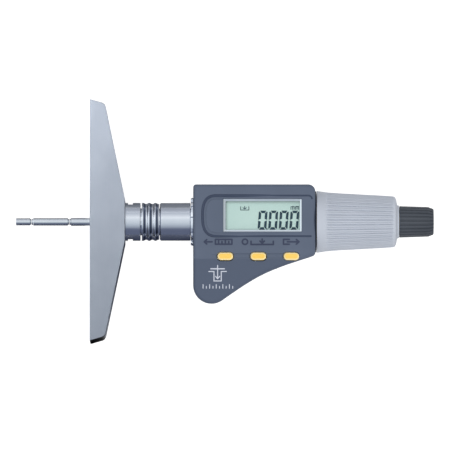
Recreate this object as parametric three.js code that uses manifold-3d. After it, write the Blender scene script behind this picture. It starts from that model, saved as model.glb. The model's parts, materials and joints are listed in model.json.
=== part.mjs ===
// A digital depth micrometer lying on its back, as a bench of separate pieces.
// Millimetres, +Z up. While the pieces are made, the spindle axis is the X axis and the measuring face is at 0;
// the whole gauge is then shifted so that the origin is under its middle, on the surface that it lies on.
import * as THREE from "three";
import { mergeVertices } from "three/addons/utils/BufferGeometryUtils.js";
import Module from "manifold-3d";

const wasm = await Module();
wasm.setup();

// Clearances and counts
const SEAT = 0.3; // between two pieces that are fixed to each other
const RUN = 0.15; // round a piece that turns or slides
const OVERRUN = 1; // how far a cut runs past the face that it opens
const ROUND = 28; // sides of a turned piece that shows
const INNER = 20; // sides of a turned piece inside
const SMALL = 12; // sides of a small one

// Measuring base
const BASE_SPAN = 100;
const BASE_HEIGHT = 14.5;
const BASE_CROWN = 17.2; // flat on top, under the hub
const BASE_END_HEIGHT = 6.3;
const BASE_END_DRAFT = 1.8;
const BASE_CORNER = 1.8;
const LOCK_SCREW_RADIUS = 1.5;

// Guide bush and wiper in the base
const BUSH_RADIUS = 3.2;
const BUSH_RECESS = 0.4;
const WIPER_THICKNESS = 1.6;

// Neck: the barrel inside, and the pieces that show round it
const BARREL_RADIUS = 5.6;
const BARREL_BORE = 3.3;
const HUB_RADIUS = 7.85;
const HUB_SPIGOT = 3.5; // how deep the hub goes into the base
const HUB_SPIGOT_WALL = 0.9;
const HUB_FLANGE = 1.16;
const HUB_GROOVE = 2.04;
const HUB_GROOVE_DEPTH = 0.9;
const HUB_LAND = 3.15;
const LOCK_GAP = 0.6;
const LOCK_LENGTH = 7.15;
const LOCK_RADIUS = 7.9;
const LOCK_RIDGES = 3;
const LOCK_RIDGE_DEPTH = 0.6;
const LOCK_RIDGE_STEPS = 4;
const SHOE_LENGTH = 3.2;
const SHOE_WIDTH = 2.4;
const SLEEVE_RADIUS = 7.8;
const SLEEVE_LENGTH = 12.65;
const SLEEVE_BEVEL = 0.35;
const INNER_BUSH_LENGTH = 6;
const NUT_RADIUS = 10.05;
const NUT_THICKNESS = 1;
const NUT_NOTCHES = 12;
const NUT_NOTCH_DEPTH = 0.9;
const NOTCH_SHARE = 0.45; // of each notch's step round the rim

// Housing outline, in the plane of the display
const HOUSING_LENGTH = 50.45;
const HOUSING_HALF = 14.7; // from the axis to the top, and to the tail's corner
const CORNER_NEAR = 1.2;
const CORNER_FAR = 2.9;
const CORNER_TAIL = 1.7;
const LOBE_RADIUS = 7.6;
const LOBE_DROP = 27;
const LOBE_EXIT = THREE.MathUtils.degToRad(35);
const TAIL_ANGLE = THREE.MathUtils.degToRad(17.7);
const TAIL_STRAIGHT = 4.9;
const FLANK_HANDLE_SHARE = 0.45; // of the flank's chord
const CORNER_LEAST = 0.2;

// Housing shells, from the axis plane to the front and to the back
const WALL = 1.6;
const PART_GAP = 0.3;
const SHELL_DRAFT = 0.8;
const FRONT_RIM = 1;
const REAR_RIM = 0.7;
const REAR_DRAFT = 0.1;
const RIM_STEPS = 2;
const FRONT_BOSS_RADIUS = 1.6;
const REAR_BOSS_RADIUS = 2;
const BOSS_EDGE = 3.4; // from the top of the housing to a boss
const BOSS_NEAR = 3.9; // from the neck end to a boss
const BOSS_FAR = 3.65; // from the thimble end to a boss
const BOSS_LOBE_OUT = 1.5; // from the lobe's centre
const BOSS_FLANK_SHARE = 0.322; // of the room between the battery bay and the thimble end
const BOSS_FLANK_RISE = 3.2; // from the tail's slope
const SCREW_RADIUS = 0.8;
const SCREW_HEAD_RADIUS = 1.5;
const SCREW_HEAD_DEPTH = 0.9;
const SCREW_SLOT = 0.5;
const SCREW_REACH = 5; // into the front shell
const SCREW_SUNK = 0.3;

// Groove round the display panel
const PANEL_NEAR = 4.3; // from the neck end to the groove's middle
const PANEL_FAR = 3;
const PANEL_TOP = 9.7;
const PANEL_BOTTOM = -7;
const PANEL_BOW = 6;
const PANEL_POWER = 2.8;
const PANEL_STEPS = 10;
const GROOVE_WIDTH = 1.1;
const GROOVE_DEPTH = 0.45;

// Display
const VIEW_NEAR = 12.67; // from the neck end to the opening
const VIEW_FAR = 5.58; // from the opening to the thimble end
const VIEW_HEIGHT = 13.5;
const VIEW_RISE = 1.7;
const WINDOW_THICKNESS = 0.8;
const PANE_MARGIN = 0.6; // of the display glass beyond the opening
const PANE_THICKNESS = 1.9;
const FRAME_WALL = 0.45;
const STRIP_WIDTH = 1.8;
const STRIP_HEIGHT = 0.9;
const BOARD_THICKNESS = 1;
const BOARD_CLEAR = 1.05; // from the barrel to the board
const BOARD_FAR = 5; // from the thimble end to the board
const BOARD_LAP = 1.9; // of the board beyond its first screw
const BOARD_DROP = 14.8;
const CHIP_CLEAR = 2.8; // from the second screw
const CHIP_LENGTH = 7;
const CHIP_WIDTH = 5;
const CHIP_THICKNESS = 1.1;
const POST_RADIUS = 1.35;
const POST_OUT = 3.47; // from the opening to the first screw
const POST_RISE = 4;
const POST_DROP = 9.1;

// Keys
const KEY_COUNT = 3;
const KEY_LENGTH = 6.4;
const KEY_WIDTH = 3.1;
const KEY_GAP = 0.2;
const KEY_PROUD = 0.6;
const KEY_TRAVEL = 0.5;
const KEY_NEAR = 13.27; // from the neck end to the first key
const KEY_FAR = 9.88; // from the last key to the thimble end
const KEY_DROP = 15.2;
const KEY_CROWN = 0.35;
const KEY_FOOT_THICKNESS = 0.8;
const KEY_FOOT_RISE = 2.1;
const KEY_FOOT_DROP = 1;
const KEY_FOOT_REACH = 3.3;
const MAT_WIDTH = 3;

// Battery bay
const CELL_RADIUS = 10;
const CELL_THICKNESS = 3.2;
const CELL_ALONG = 14.8;
const CELL_DROP = 14.5;
const HOLDER_WALL = 0.8;
const HOLDER_ROOF = 0.9;
const HOLDER_EYE = 3;
const COVER_THICKNESS = 1.3;
const COVER_RECESS = 0.2;
const COIN_SLOT_LENGTH = 13;
const COIN_SLOT_WIDTH = 1.8;
const COIN_SLOT_DEPTH = 0.8;
const COVER_SEAL_THICKNESS = 0.5;
const COVER_SEAL_WIDTH = 0.7;
const CONTACT_LENGTH = 9;
const CONTACT_WIDTH = 2.4;
const CONTACT_THICKNESS = 0.2;
const CONTACT_SPACING = 6;

// Data socket in the neck end
const PORT_LENGTH = 7.4;
const PORT_HEIGHT = 4;
const PORT_DROP = 15.5;
const PORT_RISE = 4.4;
const PLUG_THICKNESS = 1.2;
const SOCKET_DEPTH = 7;

// Position scale inside the housing
const ARM_LENGTH = 7;
const ARM_WIDTH = 2.4;
const ARM_ALONG = 3.8; // from the neck end to the arm at rest
const ARM_PLATE = 0.9;
const SLIDER_HEIGHT = 10;
const SLIDER_THICKNESS = 1;
const SLOT_MARGIN = 0.5;
const SCALE_NEAR = 6.3;
const SCALE_FAR = 7;
const SCALE_TOP = 6.2;
const SCALE_BOTTOM = -6;
const SCALE_RIB = 1.6;
const SCALE_RIB_INSET = 3;

// Spindle and rod
const TRAVEL = 30.75; // the rod's reach at rest, drawn in by as much
const ROD_TIP_LENGTH = 6.35;
const ROD_TIP_RADIUS = 1.5;
const ROD_CHAMFER = 0.25;
const ROD_LENGTH = 15.5;
const ROD_RADIUS = 1.56;
const ROD_NECK = 0.55;
const ROD_NECK_STEP = 0.25;
const NOSE_RADIUS = 1.65;
const STEM_RADIUS = 3.1;
const SCREW_THREAD_RADIUS = 2.5;
const SCREW_THREAD_DEPTH = 0.35;
const SCREW_THREAD_LEAD = 2.5;
const SCREW_THREAD_STEPS = 2; // rings to one turn
const SCREW_THREAD_SIDES = 10;

// Thimble end
const SEAL_RING_LENGTH = 0.8;
const SEAL_RING_RADIUS = 12.7;
const THIMBLE_LENGTH = 33.8;
const THIMBLE_RIBS = 36;
const RIB_DEPTH = 0.35;
const RIB_START = 6.4; // plain band before the ribs
const THIMBLE_RADIUS = 12.6;
const THIMBLE_RIB_RADIUS = 12.15; // where the ribs start
const THIMBLE_WAIST_RADIUS = 11.4;
const THIMBLE_SHOULDER_RADIUS = 10.75;
const RIB_RUNOUT = 1;
const SHOULDER_LENGTH = 3;
const SHOULDER_MID_RADIUS = 9.4;
const SHOULDER_MID_SHARE = 0.45;
const THIMBLE_END_RADIUS = 7;
const THIMBLE_BORE = 8.9;
const THIMBLE_PLUG = 6.6;
const DRIVE_RADIUS = 8.6;
const DRIVE_NECK_RADIUS = 7.7;
const DRIVE_NECK = 4; // length inside the housing
const DRIVE_LIP = 0.5;
const BEARING_WALL = 0.85;
const BARREL_TAIL = 4.6; // barrel past the seal ring
const CIRCLIP_THICKNESS = 1;
const CIRCLIP_LAND = 0.6;
const CIRCLIP_DEPTH = 0.6;
const CIRCLIP_HEIGHT = 1.6;
const NUT_LENGTH = 6.2;
const STUB_RADIUS = 3.8;
const KNOB_LENGTH = 14.2;
const KNOB_FRONT_RADIUS = 6.5;
const KNOB_END_RADIUS = 6.1;
const KNOB_CHAMFER_LENGTH = 2.2;
const KNOB_CHAMFER = 0.85;
const KNOB_RIBS = 24;
const KNOB_RIB_DEPTH = 0.4;
const KNOB_BORE = 5.15;
const KNOB_END_WALL = 1.2;
const KNOB_WEB = 1.4;
const CLUTCH_LENGTH = 2.1;
const CLUTCH_TEETH = 10;
const CLUTCH_TOOTH_DEPTH = 0.5;
const SPRING_WIRE = 0.35;
const SPRING_TURNS = 3;
const SPRING_LENGTH = 4;
const SPRING_STEPS = 8; // to one turn
const SPRING_SIDES = 5;
const CLIP_THICKNESS = 0.8;
const CLIP_DEPTH = 0.5;
const CLIP_HEIGHT = 1.3;
const STUB_TAIL = 0.8;

// Stations along the axis, each from the one before
const hubStart = BASE_HEIGHT - HUB_SPIGOT;
const hubEnd = BASE_HEIGHT + HUB_FLANGE + HUB_GROOVE + HUB_LAND;
const barrelStart = hubStart + SEAT + WIPER_THICKNESS + SEAT;
const lockStart = hubEnd + LOCK_GAP;
const lockEnd = lockStart + LOCK_LENGTH;
const sleeveStart = lockEnd + SEAT;
const sleeveEnd = sleeveStart + SLEEVE_LENGTH;
const nutStart = sleeveEnd + RUN;
const housingLeft = nutStart + NUT_THICKNESS;
const housingRight = housingLeft + HOUSING_LENGTH;
const sealEnd = housingRight + SEAL_RING_LENGTH;
const thimbleStart = sealEnd + RUN;
const thimbleEnd = thimbleStart + THIMBLE_LENGTH;
const barrelEnd = sealEnd + BARREL_TAIL;
const knobStart = thimbleEnd + RUN;
const knobEnd = knobStart + KNOB_LENGTH;
const boardBottom = BARREL_RADIUS + BOARD_CLEAR;
const boardTop = boardBottom + BOARD_THICKNESS;
const paneBottom = boardTop + SEAT / 2 + STRIP_HEIGHT + SEAT;
const paneTop = paneBottom + PANE_THICKNESS;
const frontInner = paneTop + SEAT;
const front = frontInner + WALL; // the base is as deep as the shells, so that all of it lies flat
const backInner = -frontInner;
const viewLength = HOUSING_LENGTH - VIEW_NEAR - VIEW_FAR;
const viewMiddle = housingLeft + VIEW_NEAR + viewLength / 2;
const postLeft = housingLeft + VIEW_NEAR - POST_OUT;
const boardLeft = postLeft - BOARD_LAP;
const armStart = housingLeft + ARM_ALONG;
const driveStart = housingRight - DRIVE_NECK;
const driveNutStart = barrelEnd + SEAT;
const driveNutEnd = driveNutStart + NUT_LENGTH;
const shoulderStart = thimbleEnd - THIMBLE_PLUG;
const webStart = knobStart + SEAT + CLUTCH_LENGTH + SEAT;
const springStart = webStart + KNOB_WEB + SEAT;
const clipStart = springStart + SPRING_LENGTH + SEAT;
const stubEnd = clipStart + CLIP_THICKNESS + STUB_TAIL;

// Materials
function finish(color, roughness, metalness) {
  return new THREE.MeshStandardMaterial({ color, roughness, metalness });
}

const groundSteel = finish(0xaab2be, 0.35, 1);
const chromedSteel = finish(0xb4bcc8, 0.22, 1);
const hardenedSteel = finish(0xc0c8d0, 0.2, 1);
const brass = finish(0xb89a56, 0.35, 1);
const housingPlastic = finish(0x606b80, 0.5, 0);
const thimblePlastic = finish(0xb8bfcc, 0.5, 0);
const knobPlastic = finish(0x4a4f55, 0.55, 0);
const keyRubber = finish(0xffd060, 0.5, 0);
const blackRubber = finish(0x1c2030, 0.7, 0);
const clearPlastic = finish(0xe6f0ee, 0.08, 0);
const displayGlass = finish(0xb8d4cc, 0.25, 0);
const innerPlastic = finish(0x2c3038, 0.6, 0);
const boardLaminate = finish(0x1f5a3c, 0.5, 0);
const siliconeRubber = finish(0xc8ccd0, 0.8, 0);
const springSteel = finish(0x9aa0a8, 0.3, 1);

// From geometry to a solid that can be joined or cut, and back
function solid(geometry) {
  const bare = new THREE.BufferGeometry();
  bare.setAttribute("position", geometry.getAttribute("position"));
  bare.setIndex(geometry.getIndex());
  const merged = mergeVertices(bare);
  const corners = [];
  for (let i = 0; i < merged.index.count; i += 3) {
    const [a, b, c] = [0, 1, 2].map((k) => merged.index.getX(i + k));
    if (a !== b && b !== c && c !== a) corners.push(a, b, c);
  }
  const shape = new wasm.Manifold(
    new wasm.Mesh({
      numProp: 3,
      vertProperties: merged.attributes.position.array,
      triVerts: new Uint32Array(corners),
    }),
  );
  return shape;
}

function piece(group, name, shape, material) {
  const made = shape.getMesh();
  const geometry = new THREE.BufferGeometry();
  geometry.setAttribute("position", new THREE.BufferAttribute(new Float32Array(made.vertProperties), 3));
  geometry.setIndex(new THREE.BufferAttribute(new Uint32Array(made.triVerts), 1));
  geometry.computeVertexNormals();
  const mesh = new THREE.Mesh(geometry, material);
  mesh.name = name;
  group.add(mesh);
}

// A turned piece round the X axis, from points of [x, radius] that go round its section
const AXIS_TO_X = new THREE.Matrix4().set(0, 1, 0, 0, 0, 0, 1, 0, 1, 0, 0, 0, 0, 0, 0, 1);

function turned(section, sides = ROUND) {
  const points = section.map(([x, radius]) => new THREE.Vector2(radius, x));
  const area = points.reduce((sum, p, i) => sum + p.cross(points[(i + 1) % points.length]), 0);
  if (area < 0) points.reverse();
  const onAxis = points.filter((p) => p.x === 0).length > 1;
  if (!onAxis) points.push(points[0].clone());
  return solid(new THREE.LatheGeometry(points, sides).applyMatrix4(AXIS_TO_X));
}

function rod(from, to, radius, sides = ROUND) {
  return turned([[from, 0], [from, radius], [to, radius], [to, 0]], sides);
}

// The corner radius of a bore whose flats stand at the radius asked for
const bored = (radius, sides = ROUND) => radius / Math.cos(Math.PI / sides);

function tube(from, to, outer, inner, sides = ROUND) {
  const bore = bored(inner, sides);
  return turned([[from, outer], [to, outer], [to, bore], [from, bore]], sides);
}

function block(x0, x1, y0, y1, z0, z1) {
  const box = new THREE.BoxGeometry(x1 - x0, y1 - y0, z1 - z0);
  return solid(box.translate((x0 + x1) / 2, (y0 + y1) / 2, (z0 + z1) / 2));
}

function upright(x, y, z0, z1, radius, sides = SMALL) {
  const post = new THREE.CylinderGeometry(radius, radius, z1 - z0, sides).rotateX(Math.PI / 2);
  return solid(post.translate(x, y, (z0 + z1) / 2));
}

function plate(outline, z0, z1) {
  const slab = new THREE.ExtrudeGeometry(new THREE.Shape(outline), { depth: z1 - z0, bevelEnabled: false });
  return solid(slab.translate(0, 0, z0));
}

// A skin over rings of equally many points, closed at both ends
function loft(rings, flat) {
  const count = rings[0].length;
  const positions = rings.flatMap((ring) => ring.flatMap((p) => [p.x, p.y, p.z]));
  const index = [];
  for (let r = 0; r + 1 < rings.length; r++) {
    for (let i = 0; i < count; i++) {
      const [a, b] = [r * count + i, r * count + ((i + 1) % count)];
      index.push(a, b, b + count, a, b + count, a + count);
    }
  }
  const last = (rings.length - 1) * count;
  for (const [a, b, c] of THREE.ShapeUtils.triangulateShape(rings[0].map(flat), [])) index.push(a, c, b);
  for (const [a, b, c] of THREE.ShapeUtils.triangulateShape(rings.at(-1).map(flat), [])) {
    index.push(last + a, last + b, last + c);
  }
  const geometry = new THREE.BufferGeometry();
  geometry.setAttribute("position", new THREE.Float32BufferAttribute(positions, 3));
  geometry.setIndex(index);
  return solid(geometry);
}

const across = (p) => new THREE.Vector2(p.y, p.z); // a ring that stands across the axis
const level = (p) => new THREE.Vector2(p.x, p.y); // a ring that lies level

// A body with ribs along the axis, from sections of x, radius and rib depth
function ribbed(sections, ribs) {
  const rings = sections.map(({ x, radius, depth }) =>
    Array.from({ length: 2 * ribs }, (_, i) => {
      const angle = (Math.PI * (i + 1 / 2)) / ribs;
      const reach = i % 2 ? radius : radius - depth;
      return new THREE.Vector3(x, reach * Math.cos(angle), reach * Math.sin(angle));
    }),
  );
  return loft(rings, across);
}

// Points on a left-hand turn about a centre, from one heading to another
function bend(x, y, radius, from, to, steps) {
  return Array.from({ length: steps + 1 }, (_, i) => {
    const heading = from + ((to - from) * i) / steps;
    return new THREE.Vector2(x + radius * Math.sin(heading), y - radius * Math.cos(heading));
  });
}

function stadium(x, y, length, width) {
  const reach = (length - width) / 2;
  const end = SMALL / 2;
  return [
    ...bend(x + reach, y, width / 2, 0, Math.PI, end),
    ...bend(x - reach, y, width / 2, Math.PI, 2 * Math.PI, end),
  ];
}

// Measuring base with its guide bush, wiper and hub
function baseOutline() {
  const slope = Math.atan2(BASE_HEIGHT - BASE_END_HEIGHT, (BASE_SPAN - BASE_CROWN) / 2 - BASE_END_DRAFT);
  const endLean = Math.atan2(BASE_END_DRAFT, BASE_END_HEIGHT);
  const steps = 4;
  const turnAngle = Math.PI / 2 - endLean - slope; // between the end face and the sloping side
  const cut = BASE_CORNER * Math.tan(turnAngle / 2);
  const corner = new THREE.Vector2(BASE_END_HEIGHT, BASE_SPAN / 2 - BASE_END_DRAFT);
  const back = new THREE.Vector2(-Math.cos(endLean), Math.sin(endLean)).multiplyScalar(cut);
  const start = corner.clone().add(back);
  const inward = new THREE.Vector2(-Math.sin(endLean), -Math.cos(endLean)).multiplyScalar(BASE_CORNER);
  const centre = start.clone().add(inward);
  const arc = bend(centre.x, centre.y, BASE_CORNER, Math.PI / 2 + slope, Math.PI - endLean, steps);
  const upper = [new THREE.Vector2(BASE_HEIGHT, BASE_CROWN / 2), ...arc, new THREE.Vector2(0, BASE_SPAN / 2)];
  const lower = upper.map((p) => new THREE.Vector2(p.x, -p.y)).reverse();
  return [...upper, ...lower];
}

const hubSpigotRadius = BARREL_RADIUS + SEAT + HUB_SPIGOT_WALL;
const pocketFloor = hubStart - SEAT;

function makeBase(group) {
  const pocket = rod(pocketFloor, BASE_HEIGHT + OVERRUN, bored(hubSpigotRadius + SEAT));
  const bushHole = rod(-OVERRUN, pocketFloor + OVERRUN, bored(BUSH_RADIUS + SEAT, SMALL), SMALL);
  const screwX = hubStart + HUB_SPIGOT / 2;
  const screwHole = upright(screwX, 0, -front - OVERRUN, -BUSH_RADIUS, LOCK_SCREW_RADIUS + SEAT);
  const body = plate(baseOutline(), -front, front).subtract(pocket).subtract(bushHole).subtract(screwHole);
  piece(group, "measuring_base", body, groundSteel);
  const screwTop = -hubSpigotRadius - SEAT;
  const grub = upright(screwX, 0, -front + SCREW_SUNK, screwTop, LOCK_SCREW_RADIUS);
  const hex = upright(screwX, 0, -front, -front + LOCK_SCREW_RADIUS + SCREW_SUNK, LOCK_SCREW_RADIUS / 2, 6);
  piece(group, "base_lock_screw", grub.subtract(hex), hardenedSteel);
  const bush = tube(BUSH_RECESS, pocketFloor - SEAT, BUSH_RADIUS, NOSE_RADIUS + RUN, SMALL);
  piece(group, "rod_bush", bush, hardenedSteel);
  const wiperStart = hubStart + SEAT;
  const wiper = tube(wiperStart, wiperStart + WIPER_THICKNESS, BARREL_RADIUS, NOSE_RADIUS + RUN, SMALL);
  piece(group, "rod_wiper", wiper, blackRubber);
  const flangeEnd = BASE_HEIGHT + HUB_FLANGE;
  const grooveEnd = flangeEnd + HUB_GROOVE;
  const bore = bored(BARREL_RADIUS + SEAT);
  const grooveRadius = HUB_RADIUS - HUB_GROOVE_DEPTH;
  const hub = turned([
    [hubStart, bore],
    [hubStart, hubSpigotRadius],
    [BASE_HEIGHT, hubSpigotRadius],
    [BASE_HEIGHT, HUB_RADIUS],
    [flangeEnd, HUB_RADIUS],
    [flangeEnd, grooveRadius],
    [grooveEnd, grooveRadius],
    [grooveEnd, HUB_RADIUS],
    [hubEnd, HUB_RADIUS],
    [hubEnd, bore],
  ]);
  piece(group, "base_hub", hub, chromedSteel);
}

// Neck: barrel, lock ring, sleeve and ring nut
function makeNeck(group) {
  const shoeMiddle = (lockStart + lockEnd) / 2;
  const [shoeLeft, shoeRight] = [shoeMiddle - SHOE_LENGTH / 2, shoeMiddle + SHOE_LENGTH / 2];
  const halfShoe = SHOE_WIDTH / 2;
  const slotHalf = ARM_WIDTH / 2 + SEAT;
  const slotEnd = armStart + ARM_LENGTH + TRAVEL + SLOT_MARGIN;
  const reach = BARREL_RADIUS + OVERRUN;
  const window = block(shoeLeft - RUN, shoeRight + RUN, -halfShoe - RUN, halfShoe + RUN, 0, reach);
  const slot = block(armStart - SLOT_MARGIN, slotEnd, 0, reach, -slotHalf, slotHalf);
  const clipGrooveEnd = barrelEnd - CIRCLIP_LAND;
  const clipGrooveStart = clipGrooveEnd - CIRCLIP_THICKNESS - RUN;
  const grooveRadius = BARREL_RADIUS - CIRCLIP_DEPTH;
  const barrelBore = bored(BARREL_BORE, INNER);
  const barrel = turned([
    [barrelStart, barrelBore],
    [barrelStart, BARREL_RADIUS],
    [clipGrooveStart, BARREL_RADIUS],
    [clipGrooveStart, grooveRadius],
    [clipGrooveEnd, grooveRadius],
    [clipGrooveEnd, BARREL_RADIUS],
    [barrelEnd, BARREL_RADIUS],
    [barrelEnd, barrelBore],
  ], INNER);
  piece(group, "guide_barrel", barrel.subtract(window).subtract(slot), chromedSteel);
  const clipInner = grooveRadius + RUN;
  const [clipStart, clipEnd] = [clipGrooveStart + RUN / 2, clipGrooveEnd - RUN / 2];
  const circlip = tube(clipStart, clipEnd, clipInner + CIRCLIP_HEIGHT, clipInner, INNER);
  const halfMouth = grooveRadius / 2;
  const mouth = block(clipGrooveStart - OVERRUN, barrelEnd, -halfMouth, halfMouth, 0, BARREL_RADIUS * 2);
  piece(group, "retaining_ring", circlip.subtract(mouth), springSteel);
  const shoe = block(shoeLeft, shoeRight, -halfShoe, halfShoe, NOSE_RADIUS + RUN, BARREL_RADIUS - RUN);
  piece(group, "lock_shoe", shoe, brass);
  const innerStart = (sleeveStart + sleeveEnd - INNER_BUSH_LENGTH) / 2;
  const innerEnd = innerStart + INNER_BUSH_LENGTH;
  const innerBush = tube(innerStart, innerEnd, BARREL_BORE - SEAT, NOSE_RADIUS + RUN, SMALL);
  piece(group, "spindle_bush", innerBush, brass);

  const ridge = (x) => {
    const phase = ((x - lockStart) / LOCK_LENGTH) * LOCK_RIDGES * 2 * Math.PI - Math.PI / 4;
    return LOCK_RADIUS - (LOCK_RIDGE_DEPTH * (1 - Math.cos(phase))) / 2;
  };
  const rows = LOCK_RIDGES * LOCK_RIDGE_STEPS;
  const ridges = Array.from({ length: rows + 1 }, (_, i) => lockStart + (LOCK_LENGTH * i) / rows);
  const ringBore = bored(BARREL_RADIUS + RUN);
  const ring = turned([[lockStart, ringBore], ...ridges.map((x) => [x, ridge(x)]), [lockEnd, ringBore]]);
  piece(group, "lock_ring", ring, chromedSteel);

  const sleeveBore = bored(BARREL_RADIUS + SEAT);
  const sleeve = turned([
    [sleeveStart, sleeveBore],
    [sleeveStart, SLEEVE_RADIUS - SLEEVE_BEVEL],
    [sleeveStart + SLEEVE_BEVEL, SLEEVE_RADIUS],
    [sleeveEnd, SLEEVE_RADIUS],
    [sleeveEnd, sleeveBore],
  ]);
  piece(group, "stem_sleeve", sleeve, chromedSteel);
  const nut = notched(nutStart, housingLeft, NUT_RADIUS, NUT_NOTCH_DEPTH, NUT_NOTCHES, BARREL_RADIUS + SEAT);
  piece(group, "ring_nut", nut, chromedSteel);
}

// A flat ring with notches round its rim
function notched(from, to, radius, depth, notches, bore) {
  const step = (2 * Math.PI) / notches;
  const edge = (NOTCH_SHARE * step) / 2;
  const rim = Array.from({ length: notches }, (_, i) => [
    [radius, i * step + edge],
    [radius, (i + 1) * step - edge],
    [radius - depth, (i + 1) * step - edge],
    [radius - depth, (i + 1) * step + edge],
  ]).flat();
  const ring = (x) => rim.map(([r, angle]) => new THREE.Vector3(x, r * Math.cos(angle), r * Math.sin(angle)));
  return loft([ring(from), ring(to)], across).subtract(rod(from - OVERRUN, to + OVERRUN, bored(bore)));
}

// Housing outline, drawn in by an inset all round
function housingOutline(inset) {
  const within = (radius) => Math.max(radius - inset, CORNER_LEAST);
  const [near, far, tail] = [CORNER_NEAR, CORNER_FAR, CORNER_TAIL].map(within);
  const [left, right, top] = [housingLeft + inset, housingRight - inset, HOUSING_HALF - inset];
  const lobe = new THREE.Vector2(housingLeft + LOBE_RADIUS, -LOBE_DROP);
  const lobeRadius = LOBE_RADIUS - inset;
  const heading = (angle) => new THREE.Vector2(Math.cos(angle), Math.sin(angle));
  const tailCorner = new THREE.Vector2(housingRight, -HOUSING_HALF);
  const flankEnd = tailCorner.clone().sub(heading(TAIL_ANGLE).multiplyScalar(TAIL_STRAIGHT));
  const flankStart = bend(lobe.x, lobe.y, LOBE_RADIUS, LOBE_EXIT, LOBE_EXIT, 1)[0];
  const handle = flankStart.distanceTo(flankEnd) * FLANK_HANDLE_SHARE;
  const flank = new THREE.CubicBezierCurve(
    flankStart,
    flankStart.clone().add(heading(LOBE_EXIT).multiplyScalar(handle)),
    flankEnd.clone().sub(heading(TAIL_ANGLE).multiplyScalar(handle)),
    flankEnd,
  );
  const flankSteps = 9;
  const flankPoints = Array.from({ length: flankSteps }, (_, i) => {
    const t = (i + 1) / flankSteps;
    const along = flank.getTangent(t);
    return flank.getPoint(t).add(new THREE.Vector2(-along.y, along.x).multiplyScalar(inset));
  });
  const tailX = right - tail;
  const tailRise = (inset + tail + (tailX - tailCorner.x) * Math.sin(TAIL_ANGLE)) / Math.cos(TAIL_ANGLE);
  const quarter = Math.PI / 2;
  return [
    ...bend(left + near, top - near, near, 2 * quarter, 3 * quarter, 3),
    ...bend(lobe.x, lobe.y, lobeRadius, -quarter, LOBE_EXIT, 10),
    ...flankPoints,
    ...bend(tailX, tailCorner.y + tailRise, tail, TAIL_ANGLE, quarter, 3),
    ...bend(right - far, top - far, far, quarter, 2 * quarter, 5),
  ];
}

const housingRing = (z, inset) => housingOutline(inset).map((p) => new THREE.Vector3(p.x, p.y, z));

// Rings of a shell from its parting plane to a face, with a rounded rim; side is 1 at the front, -1 at the back
function shellRings(side, rim, draftAtRim) {
  const rings = [housingRing((side * PART_GAP) / 2, SHELL_DRAFT)];
  for (let i = 0; i <= RIM_STEPS; i++) {
    const angle = ((Math.PI / 2) * i) / RIM_STEPS;
    const z = front - rim * (1 - Math.sin(angle));
    rings.push(housingRing(side * z, draftAtRim + rim * (1 - Math.cos(angle))));
  }
  return side > 0 ? rings : rings.reverse();
}

const bayEnd = housingLeft + CELL_ALONG + CELL_RADIUS + SEAT + HOLDER_WALL;
const flankX = bayEnd + (housingRight - bayEnd) * BOSS_FLANK_SHARE;
const flankY = BOSS_FLANK_RISE - HOUSING_HALF - (housingRight - flankX) * Math.tan(TAIL_ANGLE);
const bossPlaces = [
  [housingLeft + BOSS_NEAR, HOUSING_HALF - BOSS_EDGE],
  [housingRight - BOSS_FAR, HOUSING_HALF - BOSS_EDGE],
  [housingLeft + LOBE_RADIUS, -LOBE_DROP - BOSS_LOBE_OUT],
  [flankX, flankY],
];
const keyPitch = (HOUSING_LENGTH - KEY_NEAR - KEY_FAR) / (KEY_COUNT - 1);
const keyX = (i) => housingLeft + KEY_NEAR + keyPitch * i;
const keyPlaces = Array.from({ length: KEY_COUNT }, (_, i) => [keyX(i), -KEY_DROP]);
const postPlaces = [
  [postLeft, POST_RISE],
  [flankX, -POST_DROP],
];
const cell = new THREE.Vector2(housingLeft + CELL_ALONG, -CELL_DROP);

// The open C-shaped line round the display panel
function panelGroove() {
  const middle = (PANEL_TOP + PANEL_BOTTOM) / 2;
  const half = (PANEL_TOP - PANEL_BOTTOM) / 2;
  const side = (offset) => {
    const bow = Array.from({ length: 2 * PANEL_STEPS + 1 }, (_, i) => {
      const angle = Math.PI / 2 + (Math.PI * i) / (2 * PANEL_STEPS);
      const squared = (value) => Math.sign(value) * Math.abs(value) ** (2 / PANEL_POWER);
      return new THREE.Vector2(
        housingLeft + PANEL_NEAR + PANEL_BOW + (PANEL_BOW + offset) * squared(Math.cos(angle)),
        middle + (half + offset) * squared(Math.sin(angle)),
      );
    });
    const end = (sign) => new THREE.Vector2(housingRight - PANEL_FAR, middle + sign * (half + offset));
    return [end(1), ...bow, end(-1)];
  };
  const outline = [...side(GROOVE_WIDTH / 2), ...side(-GROOVE_WIDTH / 2).reverse()];
  return plate(outline, front - GROOVE_DEPTH, front + OVERRUN);
}

const barrelWay = bored(BARREL_RADIUS + SEAT);
const driveWay = bored(DRIVE_NECK_RADIUS + SEAT);
const barrelHole = () => rod(housingLeft - OVERRUN, housingLeft + HOUSING_HALF / 2, barrelWay);
const driveHole = () => rod(driveStart - SEAT, housingRight + OVERRUN, driveWay);

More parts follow.
